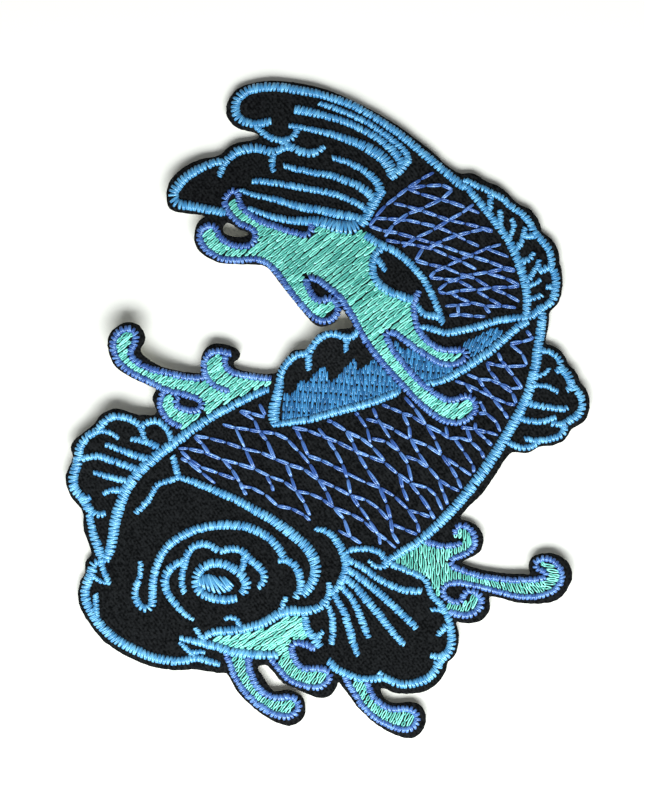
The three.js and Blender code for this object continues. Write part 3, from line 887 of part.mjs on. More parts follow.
// The frame's origin is the middle of the patch's box, at its lowest face.
const bounds = new THREE.Box3().setFromObject(patch);
const middle = bounds.getCenter(new THREE.Vector3());
for (const mesh of patch.children) mesh.geometry.translate(-middle.x, -middle.y, -bounds.min.z);

export default patch;
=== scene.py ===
"""Looks of the embroidered koi carp patch.

Every stitch is real thread. The CAD thread runs give the lines to sew along: a satin run has a ridge
along its middle, a net of running stitches has one along each row, and a fill has a flat top that
gives its area. Lengths are in millimetres until a mesh is made.
"""

import json
import math

import bmesh
import bpy
import numpy as np
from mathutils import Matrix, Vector
from mathutils.geometry import delaunay_2d_cdt


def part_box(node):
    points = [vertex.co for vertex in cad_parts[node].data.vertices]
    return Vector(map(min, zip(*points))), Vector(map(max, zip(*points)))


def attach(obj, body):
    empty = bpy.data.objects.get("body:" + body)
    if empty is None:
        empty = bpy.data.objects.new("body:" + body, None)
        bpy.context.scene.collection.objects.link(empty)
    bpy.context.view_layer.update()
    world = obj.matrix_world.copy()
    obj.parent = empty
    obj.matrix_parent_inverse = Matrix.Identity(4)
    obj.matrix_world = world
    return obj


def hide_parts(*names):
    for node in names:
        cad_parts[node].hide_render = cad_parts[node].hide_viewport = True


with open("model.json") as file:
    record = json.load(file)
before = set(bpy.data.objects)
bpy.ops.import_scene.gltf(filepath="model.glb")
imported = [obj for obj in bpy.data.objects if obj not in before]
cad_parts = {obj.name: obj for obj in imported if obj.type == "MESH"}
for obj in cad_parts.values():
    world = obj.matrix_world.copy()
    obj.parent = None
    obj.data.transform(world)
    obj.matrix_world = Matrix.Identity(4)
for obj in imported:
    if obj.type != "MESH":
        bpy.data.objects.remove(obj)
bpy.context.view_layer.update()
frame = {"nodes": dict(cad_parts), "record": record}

MM = 0.001
RNG = np.random.default_rng(11)
SLOTS = {entry["node"]: entry["material_slot"] for entry in frame["record"]["subparts"]}
SAME = 2e-6  # in metres: places or heights this close together are one
TINY = 1e-6  # what a length of nothing counts as where it is divided by

# ---- Lines ----
LINE_STEP = 0.1  # between the points of a smooth line
SHORTEST_GAP = 1e-4  # what two points in one place count as apart, on a smooth line
STRAIGHT_ON = -0.5  # two edges are one line if the cosine of the angle between them is below this
MEETS_WITHIN = 0.7  # a run whose end is this close to another run's side meets it
TUCK = 0.25  # how far a run goes under the one that it meets
FILL_TUCK = 0.45  # and how far a fill goes under the stitches round it

# ---- Thread ----
THREAD_HALF_WIDTH = 0.2
THREAD_HALF_DEPTH = 0.12
THREAD_SIDES = 8
THREAD_SAMPLES = 9
SHOULDER = 3  # the larger, the flatter a thread's top
HUMP_POWER = 0.55  # the smaller, the steeper it comes out of its needle hole
OPENING = 0.4  # the smaller, the sooner it bows out sideways
SWELL = 0.22  # how much narrower it is at its ends, as a share of its width
DIP = 0.16  # how far below the cloth's face its ends go
FADE = 0.42  # how much darker the threads' tone is at the tail than at the chin
HALF_LENGTH = 55  # of the patch, from its middle to the tail's tip or the chin

# ---- Satin stitches ----
NEEDLE_STEP = 0.33  # along a satin column, from one needle hole to the next on the other side
NEEDLE_JITTER = 0.045
FEWEST_HOLES = 4
HOLE_SPREAD = 0.06  # how far apart the two threads in one needle hole stay from its middle
HEADING_REACH = 0.3  # how far ahead and behind a column's direction is taken
SATIN_ARCH = 0.42
SATIN_SHOULDER = 2.2
NARROW_ARCH = 0.14  # how high a column of no width would stand
ARCH_SHARE = 0.36  # and how much higher a wider one stands, as a share of its half width
END_SHARE = 0.75  # how wide a column's very end is, as a share of its full width
END_FLARE = 0.6  # and how much of that share it gains in each millimetre
EDGE_JITTER = 0.04
LEAN = 0.16  # how far a satin column's strands slant at most, along the column
LEAN_SPAN = 2.3  # how far along it the slant takes to change by a radian
LEAN_PHASES = (0, 6)
LEAN_JITTER = 0.03
SATIN_BOW = 0.03
WIDTH_JITTER = 0.08  # as a share of the width
SLANTS = {"pupil_threads": -0.55}  # satin sewn aslant, as a share of the half width
BOBBIN_ARCH = 0.03
BOBBIN_HALF_WIDTH = 0.1

# ---- Running stitches ----
RUNNING_STITCH = 2.4
RUNNING_STRETCH = 1.15  # how long a stitch is where a straight run is shared out, in usual stitches
LONGEST_RUNNING = 1.5  # and after how many a point on a straight run is a stitch end all the same
CORNER = math.radians(2.2)  # a row that turns by more than this has a stitch end there
RUNNING_ARCH = 0.2
RUNNING_BOW = 0.15
RUNNING_INSET = 0.03  # how far short of its hole a strand ends, as a share of the stitch
RUNNING_JITTER = 0.03
RUNNING_BOWS = (0.75, 1.2)  # these are the least and the most, as shares of the usual
RUNNING_ARCHES = (0.85, 1.15)
RUNNING_WIDTHS = (0.78, 0.98)

# ---- Cloth and film ----
CLOTH_STEP = 0.55  # between the points of the cut edge
CUT_JITTER = 0.03
GRID_STEP = 1.3  # between the points of a sheet's face
GRID_ROW = 0.866  # from row to row of them, as a share of the step
GRID_CLEARANCE = 0.45  # the closest one comes to the cut edge, as a share of the step
GRID_MERGE = 1e-5
SOFT_EDGE = 0.08  # how far in from the side of the cut edge a sheet's faces begin
SOFT_SHARE = 0.2  # and how far above or below its side, as a share of the thickness
# A sheet is: its piece, its node, how far its edge stands out from the outline, what it rests on.
SHEETS = [
    ("cut_twill", "twill_ground", 0.08, "cut_stabilizer"),
    ("cut_stabilizer", "stabilizer", -0.05, "cut_film"),
    ("cut_film", "heat_seal_film", 0.05, "table"),
]
PUCKER = 0.05
PUCKER_WAVES = (0.9, 0.75)  # in radians per millimetre, along x and y
PUCKER_SWAY = 0.6  # how far the waves along x sway to and fro, in radians
PUCKER_SWAY_WAVES = 0.5  # and how often, in radians per millimetre along y
# Where the patch curls up off the table: (x, y), how wide the curl is, and how high.
CURLS = [
    ((-35, 12), 14, 2.4),
    ((-17, 29), 9, 1.2),
    ((-40, -6), 11, 0.8),
    ((-30, 38), 10, 0.8),
    ((41, -25), 12, 0.7),
    ((43, 4), 8, 0.4),
    ((8, -52), 12, 0.5),
    ((-1, 17), 9, 2.8),
    ((-7, -44), 8, 0.5),
]

# ---- Fill stitches ----
# A style is: the step between pairs of strands, the stitch length, the shift from pair to pair as a
# share of it, how deep the ends of every other pair go, a strand's half width, how far it bows out as
# a share of the step, and how soon it does (the smaller, the sooner).
FILL_STYLES = {
    "long": (0.7, 2.5, 0.5, 0.03, 0.158, 0.285, 0.8),
    "short": (0.74, 2.3, 0.4, 0.08, 0.118, 0.29, 0.6),
    "fine": (0.43, 1.8, 0.5, 0.22, 0.102, 0.285, 0.4),
}
# A fill is: its style, its direction in degrees from +X, and where the direction turns as a splash
# narrows and curls, as (from x, degrees).
FILLS = {
    "upper_splash_fill_threads": ("long", 39, []),
    "left_splash_fill_threads": ("long", 40, []),
    "right_splash_fill_threads": ("short", 90, [(24, 100), (27, 114), (34, 130), (36.5, 172)]),
    "right_low_curl_fill_threads": ("short", 66, []),
    "chin_fill_threads": ("long", 33, []),
    "chin_curl_left_fill_threads": ("short", 52, []),
    "chin_curl_right_fill_threads": ("short", 55, []),
    "bottom_curl_fill_threads": ("short", 62, []),
    "dorsal_fill_left_threads": ("fine", 86, []),
    "dorsal_fill_middle_threads": ("fine", 84, []),
    "dorsal_fill_right_threads": ("fine", 66, []),
}
BEYOND = 50  # an x past either side of the patch
FIRST_ROW = 0.3  # how far in the first pair lies, as a share of the step
ROW_JITTER = 0.04  # as a share of the step
FILL_PINCH = 0.03  # how far from its pair's middle a strand goes down, as a share of the step
FILL_OVERLAP = 0.08  # how far past its needle hole a strand ends
DIP_SHORTENS = 0.6  # and how much less of that there is where it goes deeper
SHORTEST_FILL = 0.4  # the closest to a row's end that a needle hole comes
FILL_ALONG_JITTER = 0.06
FILL_ACROSS_JITTER = 0.03
FILL_ARCH = 0.12
FILL_BOWS = (0.7, 1.25)  # these are the least and the most, as shares of the usual
FILL_ARCHES = (0.8, 1.25)
FILL_WIDTHS = (0.9, 1.08)

# ---- Colours: (shaded, lit) for threads, as linear RGB ----
THREAD_COLOURS = {
    "sky_thread": ((0.034, 0.20, 0.43), (0.17, 0.505, 0.77)),
    "periwinkle_thread": ((0.020, 0.070, 0.29), (0.12, 0.28, 0.62)),
    "aqua_thread": ((0.072, 0.41, 0.34), (0.33, 1.0, 0.84)),
    "mid_blue_thread": ((0.008, 0.095, 0.26), (0.067, 0.35, 0.70)),
    "bobbin_thread": ((0.55, 0.55, 0.53), (0.75, 0.75, 0.72)),
}
THREAD_ROUGHNESS = 0.24
THREAD_GLOSS = 0.9
THREAD_GLOSS_TINT = (0.7, 0.95, 1.0)
THREAD_SHEEN = 0.1
PLIES = 4
PLY_TWIST = 5  # how far the plies wind round a thread, in radians of their wave per millimetre
# painted shade: how far the plies' grooves darken and their ridges lighten a strand's colour
PLY_SHADE = 0.3
PLY_BUMP = (0.35, 0.03)  # its strength and depth
TWILL_ROUGHNESS = 0.9
TWILL_GLOSS = 0.06
TWILL_PLAIN = (0.01, 0.01, 0.01)
# the black cloth and the painted glints where its yarns catch the light
TWILL_TONES = ((0.0005, 0.0008, 0.001), (0.0105, 0.012, 0.013))
TWILL_RAMP = (0.4, 0.72)  # where in the mottle the two tones lie
RIB_STEP = 0.55
RIB_WAVER = 2.5
RIB_ANGLE = -37  # in degrees
RIB_SHARE = 0.1  # how strongly the ribs show in the mottle
WAVE_LENGTH = 0.314  # of the wave texture at a scale of 1
SPECK_SIZE = 0.42
CLOTH_BUMP = (0.4, 0.04)
# A mottled surface is: its dark and pale colours, the size of the mottling, and its roughness.
MOTTLED = {
    "backing_fabric": ((0.015, 0.015, 0.015), (0.04, 0.04, 0.04), 0.3, 0.95),
    "adhesive_film": ((0.55, 0.53, 0.46), (0.72, 0.70, 0.63), 0.8, 0.4),
}

# ---- Table, light and camera: in metres ----
TABLE_HALF = 0.6
TABLE_COLOUR = (0.78, 0.805, 0.765)
TABLE_ROUGHNESS = 0.7
TABLE_GLOSS = 0.1
ROOM_LIGHT = 0.23
KEY_PLACE = (0.0, -0.34, 0.34)
KEY_SIZE = (0.6, 0.28)
KEY_POWER = 5.8
LENS = 150  # in millimetres
SENSOR = 36  # in millimetres
VIEW_HEIGHT = 136.65 * MM  # of the view at the middle of the patch
VIEW_MIDDLE = (-0.85 * MM, 1.02 * MM, 1.0 * MM)


# ---- Reading lines and areas from the frame ----
def merged_mesh(node):
    """A node's mesh with its faces joined where their corners meet."""
    mesh = bmesh.new()
    mesh.from_mesh(node.data)
    bmesh.ops.remove_doubles(mesh, verts=mesh.verts, dist=SAME)
    mesh.verts.index_update()
    return mesh


def ridge_edges(mesh):
    """The edges along the tops of the runs: pairs of vertices and the half width beside each."""
    heights = [v.co.z for v in mesh.verts]
    top = max(heights)
    rise_height = (top - min(heights)) / MM
    edges = []
    for edge in mesh.edges:
        if min(v.co.z for v in edge.verts) < top - SAME:
            continue
        slopes = [f.normal.z / max(math.hypot(f.normal.x, f.normal.y), TINY) for f in edge.link_faces]
        edges.append((*edge.verts, rise_height * sum(slopes) / len(slopes)))
    return edges


def straightest_pairs(vertex, touching):
    """Which edges at a vertex carry on into each other, the straightest pair first."""
    pairs = []
    directions = {}
    for number, (a, b, _) in touching:
        other = b if a is vertex else a
        directions[number] = (other.co - vertex.co).normalized()
    numbers = list(directions)
    options = sorted(
        (directions[m].dot(directions[n]), m, n)
        for i, m in enumerate(numbers)
        for n in numbers[i + 1:]
    )
    free = set(numbers)
    for facing, m, n in options:
        if m in free and n in free and (facing < STRAIGHT_ON or len(numbers) == 2):
            pairs.append((m, n))
            free -= {m, n}
    return pairs


def ridge_lines(node):
    """The lines along the middles of a node's runs, each an array of (x, y, half width)."""
    mesh = merged_mesh(node)
    edges = ridge_edges(mesh)
    at_vertex = {}
    for number, edge in enumerate(edges):
        for vertex in edge[:2]:
            at_vertex.setdefault(vertex, []).append((number, edge))
    onward = {}
    for vertex, touching in at_vertex.items():
        for m, n in straightest_pairs(vertex, touching):
            onward[(m, vertex)] = n
            onward[(n, vertex)] = m
    lines = []
    used = set()
    ends = [(n, v) for v, touching in at_vertex.items() for n, _ in touching if (n, v) not in onward]
    loops = [(n, edge[0]) for n, edge in enumerate(edges)]
    for number, vertex in ends + loops:
        if number in used:
            continue
        points = [vertex]
        halves = []
        while number is not None and number not in used:
            used.add(number)
            a, b, half = edges[number]
            vertex = b if a is vertex else a
            points.append(vertex)
            halves.append(half)
            number = onward.get((number, vertex))
        sizes = np.interp(np.arange(len(points)), np.arange(len(halves)) + 0.5, halves)
        places = np.array([(v.co.x / MM, v.co.y / MM) for v in points])
        lines.append(np.column_stack([places, sizes]))
    mesh.free()
    return lines


def edge_loops(node, level):
    """The outlines of a node's faces that lie at one height, each an array of (x, y)."""
    mesh = merged_mesh(node)
    flat = [f for f in mesh.faces if all(abs(v.co.z - level) < SAME for v in f.verts)]
    flat_set = set(flat)
    border = [e for f in flat for e in f.edges if sum(g in flat_set for g in e.link_faces) == 1]
    after = {}
    for edge in border:
        a, b = edge.verts
        after.setdefault(a, []).append(b)
        after.setdefault(b, []).append(a)
    loops = []
    while after:
        start = next(iter(after))
        loop = [start]
        here = after.pop(start)[0]
        before = start
        while here is not start:
            loop.append(here)
            a, b = after.pop(here)
            before, here = here, (b if a is before else a)
        loops.append(np.array([(v.co.x / MM, v.co.y / MM) for v in loop]))
    mesh.free()
    return loops


# ---- Smoothing and joining lines ----
def lengths_along(line):
    """How far along a line each of its points is."""
    steps = np.hypot(*np.diff(line[:, :2], axis=0).T)
    return np.concatenate([[0], np.cumsum(steps)])


def at_lengths(line, wanted):
    """The line's columns at the wanted distances along it."""
    run = lengths_along(line)
    return np.column_stack([np.interp(wanted, run, column) for column in line.T])


def rounded(line):
    """A smooth line through the points (a centripetal Catmull-Rom curve), in short steps."""
    if len(line) < 3:
        count = max(2, math.ceil(lengths_along(line)[-1] / LINE_STEP))
        return at_lengths(line, np.linspace(0, lengths_along(line)[-1], count))
    ends = np.vstack([2 * line[0] - line[1], line, 2 * line[-1] - line[-2]])
    ends[0, 2:] = line[0, 2:]
    ends[-1, 2:] = line[-1, 2:]
    out = [line[:1]]
    for p0, p1, p2, p3 in zip(ends, ends[1:], ends[2:], ends[3:]):
        spans = [max(math.dist(a[:2], b[:2]), SHORTEST_GAP) for a, b in ((p0, p1), (p1, p2), (p2, p3))]
        gaps = [span ** 0.5 for span in spans]
        t0, t1, t2, t3 = np.concatenate([[0], np.cumsum(gaps)])
        count = max(1, math.ceil(gaps[1] ** 2 / LINE_STEP))
        t = (t1 + (t2 - t1) * np.arange(1, count + 1) / count)[:, None]
        a1 = ((t1 - t) * p0 + (t - t0) * p1) / (t1 - t0)
        a2 = ((t2 - t) * p1 + (t - t1) * p2) / (t2 - t1)
        a3 = ((t3 - t) * p2 + (t - t2) * p3) / (t3 - t2)
        b1 = ((t2 - t) * a1 + (t - t0) * a2) / (t2 - t0)
        b2 = ((t3 - t) * a2 + (t - t1) * a3) / (t3 - t1)
        out.append(((t2 - t) * b1 + (t - t1) * b2) / (t2 - t1))
    return np.vstack(out)


def tucked(line, others):
    """The line, lengthened at each end that stops just short of another run, to go under it."""
    for end, inner in ((0, 1), (-1, -2)):
        gaps = np.hypot(*(others[:, :2] - line[end, :2]).T) - others[:, 2]
        if gaps.min() > MEETS_WITHIN:
            continue
        heading = line[end, :2] - line[inner, :2]
        heading /= max(np.hypot(*heading), TINY)
        line[end, :2] += heading * (max(gaps.min(), 0) + TUCK)
    return line


# ---- Sewing ----
def rise(x, y):
    """How far the cloth stands off the table: puckered by the stitches and curling up at its tips."""
    sway = PUCKER_SWAY * np.sin(y * PUCKER_SWAY_WAVES)
    lift = PUCKER * (1 + np.sin(x * PUCKER_WAVES[0] + sway) * np.cos(y * PUCKER_WAVES[1]))
    for (cx, cy), reach, height in CURLS:
        lift = lift + height * np.exp(-((x - cx) ** 2 + (y - cy) ** 2) / reach ** 2)
    return lift


def threads(starts, ends, bow, arch, half_width, base, dip=DIP, shoulder=SHOULDER, opening=OPENING):
    """Threads that come up through the cloth at starts, lie over it and go back down at ends.

    Each bows sideways by bow, stands arch above the base, and has its ends dip below it.
    """
    count = len(starts)
    t = (1 - np.cos(np.linspace(0, math.pi, THREAD_SAMPLES))) / 2
    hump = (1 - np.abs(2 * t - 1) ** shoulder) ** HUMP_POWER
    side = ends - starts
    side = np.column_stack([-side[:, 1], side[:, 0]]) / np.maximum(np.hypot(*side.T), TINY)[:, None]
    flat = starts[:, None] + (ends - starts)[:, None] * t[None, :, None]
    spread = np.sin(math.pi * t) ** opening
    flat = flat + side[:, None] * (np.broadcast_to(bow, count)[:, None] * spread)[..., None]
    dip = np.broadcast_to(dip, count)[:, None]
    height = base - dip + (dip + np.broadcast_to(arch, count)[:, None]) * hump
    height = height + rise(flat[..., 0], flat[..., 1])
    swell = 1 - SWELL + SWELL * hump
    return {
        "centres": np.concatenate([flat, height[..., None]], axis=2),
        "wide": np.broadcast_to(half_width, count)[:, None] * swell,
        "tone": RNG.uniform(0, 1, count) - FADE * (starts[:, 1] + HALF_LENGTH) / (2 * HALF_LENGTH),
    }


def pooled(groups):
    """Several groups of threads as one."""
    return {key: np.concatenate([g[key] for g in groups]) for key in groups[0]}


def thread_mesh(name, laid):
    """One mesh of flattened tubes, with each thread's tone and the place along and round it."""
    centres = laid["centres"]
    count, samples, _ = centres.shape
    along = np.gradient(centres, axis=1)
    along /= np.linalg.norm(along, axis=2, keepdims=True)
    across = np.cross(along, (0.0, 0.0, 1.0))
    across /= np.maximum(np.linalg.norm(across, axis=2, keepdims=True), TINY)
    up = np.cross(across, along)
    turn = np.arange(THREAD_SIDES) * 2 * math.pi / THREAD_SIDES
    wide = laid["wide"][..., None, None]
    deep = wide * THREAD_HALF_DEPTH / THREAD_HALF_WIDTH
    ring = (across[:, :, None] * wide * np.cos(turn)[:, None]
            + up[:, :, None] * deep * np.sin(turn)[:, None])
    points = (centres[:, :, None] + ring).reshape(-1, 3) * MM

    place = np.arange(count * samples * THREAD_SIDES).reshape(count, samples, THREAD_SIDES)
    here, beside = place, np.roll(place, -1, axis=2)
    walls = np.stack([here[:, :-1], here[:, 1:], beside[:, 1:], beside[:, :-1]], axis=-1).reshape(-1, 4)
    caps = np.concatenate([place[:, 0], place[:, -1, ::-1]])
    mesh = bpy.data.meshes.new(name)
    mesh.from_pydata(points.tolist(), [], walls.tolist() + caps.tolist())
    mesh.shade_smooth()

    tone = mesh.attributes.new("tone", "FLOAT", "POINT")
    tone.data.foreach_set("value", np.repeat(laid["tone"], samples * THREAD_SIDES).astype(np.float32))
    steps = np.linalg.norm(np.diff(centres, axis=1), axis=2)
    run = np.concatenate([np.zeros((count, 1)), np.cumsum(steps, axis=1)], axis=1)
    lay = np.zeros((count, samples, THREAD_SIDES, 3))
    lay[..., 0] = run[..., None]
    lay[..., 1] = np.sin(turn)
    lay[..., 2] = np.cos(turn)
    spin = mesh.attributes.new("lay", "FLOAT_VECTOR", "POINT")
    spin.data.foreach_set("vector", lay.ravel().astype(np.float32))
    return mesh


def satin(line, base, arch=SATIN_ARCH, half_width=THREAD_HALF_WIDTH, slant=0.0):
    """The zig-zag of a satin column along a line of (x, y, half width)."""
    path = rounded(line)
    total = lengths_along(path)[-1]
    count = max(FEWEST_HOLES, round(total / NEEDLE_STEP) + 1)
    wanted = np.linspace(0, total, count)
    wanted[1:-1] += RNG.normal(0, NEEDLE_JITTER, count - 2)
    holes = at_lengths(path, wanted)
    ahead = at_lengths(path, np.minimum(wanted + HEADING_REACH, total))
    behind = at_lengths(path, np.maximum(wanted - HEADING_REACH, 0))
    along = ahead[:, :2] - behind[:, :2]
    along /= np.hypot(*along.T)[:, None]
    normal = np.column_stack([-along[:, 1], along[:, 0]])
    out = np.where(np.arange(count) % 2 == 0, 1.0, -1.0)
    from_end = np.minimum(wanted, total - wanted)
    far = holes[:, 2] * np.clip(END_SHARE + END_FLARE * from_end, 0, 1)
    far = far + RNG.normal(0, EDGE_JITTER, count)
    lean = LEAN * np.sin(wanted / LEAN_SPAN + RNG.uniform(*LEAN_PHASES))
    lean = lean + RNG.normal(0, LEAN_JITTER, count)
    needle = holes[:, :2] + normal * (out * far)[:, None] + along * (out * lean)[:, None]
    needle = needle + along * (out * far * slant)[:, None]
    starts = needle[:-1] + along[:-1] * HOLE_SPREAD
    ends = needle[1:] - along[1:] * HOLE_SPREAD
    tall = np.minimum(arch, NARROW_ARCH + ARCH_SHARE * (far[:-1] + far[1:]) / 2)
    wide = half_width * RNG.normal(1, WIDTH_JITTER, count - 1)
    bow = RNG.normal(0, SATIN_BOW, count - 1)
    return threads(starts, ends, bow, tall, wide, base, shoulder=SATIN_SHOULDER)


def stitch_ends(line):
    """The stitch ends along a row: its own points, without those where another row only crosses it."""
    kept = [line[0, :2]]
    for before, here, after in zip(line, line[1:], line[2:]):
        a, b = here[:2] - before[:2], after[:2] - here[:2]
        turn = abs(math.atan2(a[0] * b[1] - a[1] * b[0], a @ b))
        if turn > CORNER or math.dist(kept[-1], here[:2]) > LONGEST_RUNNING * RUNNING_STITCH:
            kept.append(here[:2])
    kept.append(line[-1, :2])
    return np.array(kept)


def running(line, base):
    """A row of running stitches, sewn twice, so that each is two strands side by side."""
    corners = stitch_ends(line)
    ends = [corners[:1]]
    for a, b in zip(corners, corners[1:]):
        count = max(1, round(math.dist(a, b) / (RUNNING_STRETCH * RUNNING_STITCH)))
        ends.append(a + (b - a) * (np.arange(1, count + 1) / count)[:, None])
    ends = np.concatenate(ends)
    count = len(ends) - 1
    inset = (ends[1:] - ends[:-1]) * RUNNING_INSET
    groups = []
    for side in (-1, 1):
        groups.append(threads(
            ends[:-1] + inset + RNG.normal(0, RUNNING_JITTER, (count, 2)),
            ends[1:] - inset + RNG.normal(0, RUNNING_JITTER, (count, 2)),
            side * RUNNING_BOW * RNG.uniform(*RUNNING_BOWS, count),
            RUNNING_ARCH * RNG.uniform(*RUNNING_ARCHES, count),
            THREAD_HALF_WIDTH * RNG.uniform(*RUNNING_WIDTHS, count),
            base,
        ))
    return pooled(groups)


def row_spans(loops, direction, offset, zone):
    """Where a straight row crosses the part of an area in a zone of x, as lengths along the row."""
    normal = np.array([-direction[1], direction[0]])
    crossings = []
    for loop in loops:
        depth = loop @ normal - offset
        reach = loop @ direction
        for i in range(len(loop)):
            a, b = depth[i - 1], depth[i]
            if (a < 0) != (b < 0):
                crossings.append(reach[i - 1] + (reach[i] - reach[i - 1]) * a / (a - b))
    crossings.sort()
    limits = sorted((x - normal[0] * offset) / direction[0] for x in zone)
    for low, high in zip(crossings[::2], crossings[1::2]):
        low, high = max(low, limits[0]), min(high, limits[1])
        if high > low:
            yield low - FILL_TUCK, high + FILL_TUCK


def stitch_cuts(low, high, phase, stitch):
    """The needle holes along one row, with none close to its ends."""
    cuts = phase + stitch * np.arange(math.floor((low - phase) / stitch), (high - phase) / stitch)
    cuts = cuts[(cuts > low + SHORTEST_FILL) & (cuts < high - SHORTEST_FILL)]
    return np.concatenate([[low], cuts, [high]])


def fill_stitches(loops, style, zones):
    """Each stitch over an area: its direction, its row's offset, how deep it goes and its two ends."""
    pitch, stitch, shift, dip, *_ = FILL_STYLES[style]
    for (first_x, degrees), (last_x, _) in zip(zones, zones[1:]):
        angle = math.radians(degrees)
        direction = np.array([math.cos(angle), math.sin(angle)])
        normal = np.array([-direction[1], direction[0]])
        depths = np.concatenate(loops) @ normal
        rows = np.arange(depths.min() + FIRST_ROW * pitch, depths.max(), pitch)
        rows = rows + RNG.normal(0, ROW_JITTER * pitch, len(rows))
        for row, offset in enumerate(rows):
            phase = (row * shift % 1) * stitch + RNG.normal(0, FILL_ALONG_JITTER)
            depth = dip if row % 2 else 0.0
            for low, high in row_spans(loops, direction, offset, (first_x, last_x)):
                cuts = stitch_cuts(low, high, phase, stitch)
                for a, b in zip(cuts, cuts[1:]):
                    yield direction, offset, depth, a, b


def fill(loops, style, degrees, turns, base):
    """Rows of stitches over an area, in pairs of strands that pinch together at their needle holes."""
    pitch, _, _, _, half_width, bow_share, opening = FILL_STYLES[style]
    pinch = FILL_PINCH * pitch
    bow = bow_share * pitch - pinch
    starts, ends, bows, dips = [], [], [], []
    zones = [(-BEYOND, degrees), *turns, (BEYOND, None)]
    for direction, offset, depth, a, b in fill_stitches(loops, style, zones):
        normal = np.array([-direction[1], direction[0]])
        overlap = FILL_OVERLAP - DIP_SHORTENS * depth
        for side in (-1, 1):
            jitter = RNG.normal(0, 2 * (FILL_ALONG_JITTER, FILL_ACROSS_JITTER))
            place = offset + side * pinch
            starts.append(direction * (a - overlap + jitter[0]) + normal * (place + jitter[1]))
            ends.append(direction * (b + overlap + jitter[2]) + normal * (place + jitter[3]))
            bows.append(side * bow)
            dips.append(depth)
    count = len(starts)
    return threads(
        np.array(starts), np.array(ends),
        np.array(bows) * RNG.uniform(*FILL_BOWS, count),
        FILL_ARCH * RNG.uniform(*FILL_ARCHES, count),
        half_width * RNG.uniform(*FILL_WIDTHS, count),
        base, np.array(dips), opening=opening,
    )


# ---- Cutting the sheets ----
def even_loop(loop, step):
    """A closed loop smoothed, with its points an even step apart."""
    closed = rounded(np.vstack([loop[-2:], loop, loop[:3]]))
    run = lengths_along(closed)
    from_first = np.hypot(*(closed - loop[0]).T)
    middle = len(closed) // 2
    start = run[np.argmin(from_first[:middle])]
    finish = run[middle + np.argmin(from_first[middle:])]
    count = round((finish - start) / step)
    return at_lengths(closed, np.linspace(start, finish, count, endpoint=False))


def outward(loop):
    """Unit vectors out of the solid side of a loop that runs anticlockwise round it."""
    along = np.roll(loop, -1, axis=0) - np.roll(loop, 1, axis=0)
    along /= np.hypot(*along.T)[:, None]
    return np.column_stack([along[:, 1], -along[:, 0]])


def moved_out(loops, distance):
    return [loop + outward(loop) * distance for loop in loops]


def signed_area(loop):
    """A loop's area, positive if it runs anticlockwise."""
    x, y = loop.T
    return 0.5 * np.sum(x * np.roll(y, -1) - y * np.roll(x, -1))


def inside(point, loops):
    """Whether a point is in the area that the loops bound."""
    crossings = 0
    for loop in loops:
        x, y = loop.T
        x2, y2 = np.roll(x, -1), np.roll(y, -1)
        spans = (y > point[1]) != (y2 > point[1])
        where = x + (point[1] - y) * (x2 - x) / np.where(y2 == y, TINY, y2 - y)
        crossings += np.count_nonzero(spans & (where > point[0]))
    return crossings % 2 == 1


def grid_points(loops):
    """A grid of points over the loops' whole extent, none of them close to a loop."""
    low, high = loops[0].min(axis=0), loops[0].max(axis=0)
    across = np.arange(low[0], high[0], GRID_STEP)
    upward = np.arange(low[1], high[1], GRID_STEP * GRID_ROW)
    every = np.concatenate(loops)
    points = []
    for row, y in enumerate(upward):
        for x in across + (row % 2) * GRID_STEP / 2:
            if np.hypot(*(every - (x, y)).T).min() > GRID_CLEARANCE * GRID_STEP:
                points.append(Vector((x, y)))
    return points


def flat_face(loops):
    """A face between the loops: its points, beginning with the loops' own, its faces and its border."""
    points = [Vector(p) for loop in loops for p in loop]
    border = []
    first = 0
    for loop in loops:
        border += [(first + i, first + (i + 1) % len(loop)) for i in range(len(loop))]
        first += len(loop)
    points += grid_points(loops)
    flat, _, faces, *_ = delaunay_2d_cdt(points, border, [], 0, GRID_MERGE)
    flat = np.array([tuple(p) for p in flat])
    faces = [f for f in faces if inside(flat[list(f)].mean(axis=0), loops)]
    kept = sorted({i for f in faces for i in f} | set(range(len(border))))
    order = {old: new for new, old in enumerate(kept)}
    return flat[kept], [tuple(order[i] for i in f) for f in faces], border


def sheet_mesh(name, loops, outset, low, high):
    """A sheet of cloth or film from low to high, with a softened cut edge that stands out by outset."""
    flat, faces, border = flat_face(moved_out(loops, outset - SOFT_EDGE))
    side = np.concatenate(moved_out(loops, outset))
    soft = SOFT_SHARE * (high - low)
    levels = [
        np.column_stack([points, np.full(len(points), height)])
        for points, height in ((flat, high), (side, high - soft), (side, low + soft), (flat, low))
    ]
    firsts = np.cumsum([0] + [len(level) for level in levels]).tolist()
    polygons = faces + [tuple(firsts[-2] + i for i in reversed(f)) for f in faces]
    for upper, lower in zip(firsts[:-2], firsts[1:-1]):
        polygons += [(upper + b, upper + a, lower + a, lower + b) for a, b in border]
    verts = np.concatenate(levels)
    verts[:, 2] += rise(verts[:, 0], verts[:, 1])
    mesh = bpy.data.meshes.new(name)
    mesh.from_pydata((verts * MM).tolist(), [], polygons)
    mesh.shade_smooth()
    return mesh


# ---- Materials ----
def new_material(name, colour, roughness):
    material = bpy.data.materials.new(name)
    material.use_nodes = True
    shader = material.node_tree.nodes["Principled BSDF"]
    shader.inputs["Base Color"].default_value = (*colour, 1)
    shader.inputs["Roughness"].default_value = roughness
    return material, material.node_tree, shader


def add_node(tree, kind, **settings):
    node = tree.nodes.new(kind)
    for key, value in settings.items():
        setattr(node, key, value)
    return node


def add_math(tree, operation, *values):
    """A sum on other nodes' outputs or plain numbers."""
    node = add_node(tree, "ShaderNodeMath", operation=operation)
    for socket, value in zip(node.inputs, values):
        if isinstance(value, bpy.types.NodeSocket):
            tree.links.new(value, socket)
        else:
            socket.default_value = value
    return node.outputs[0]


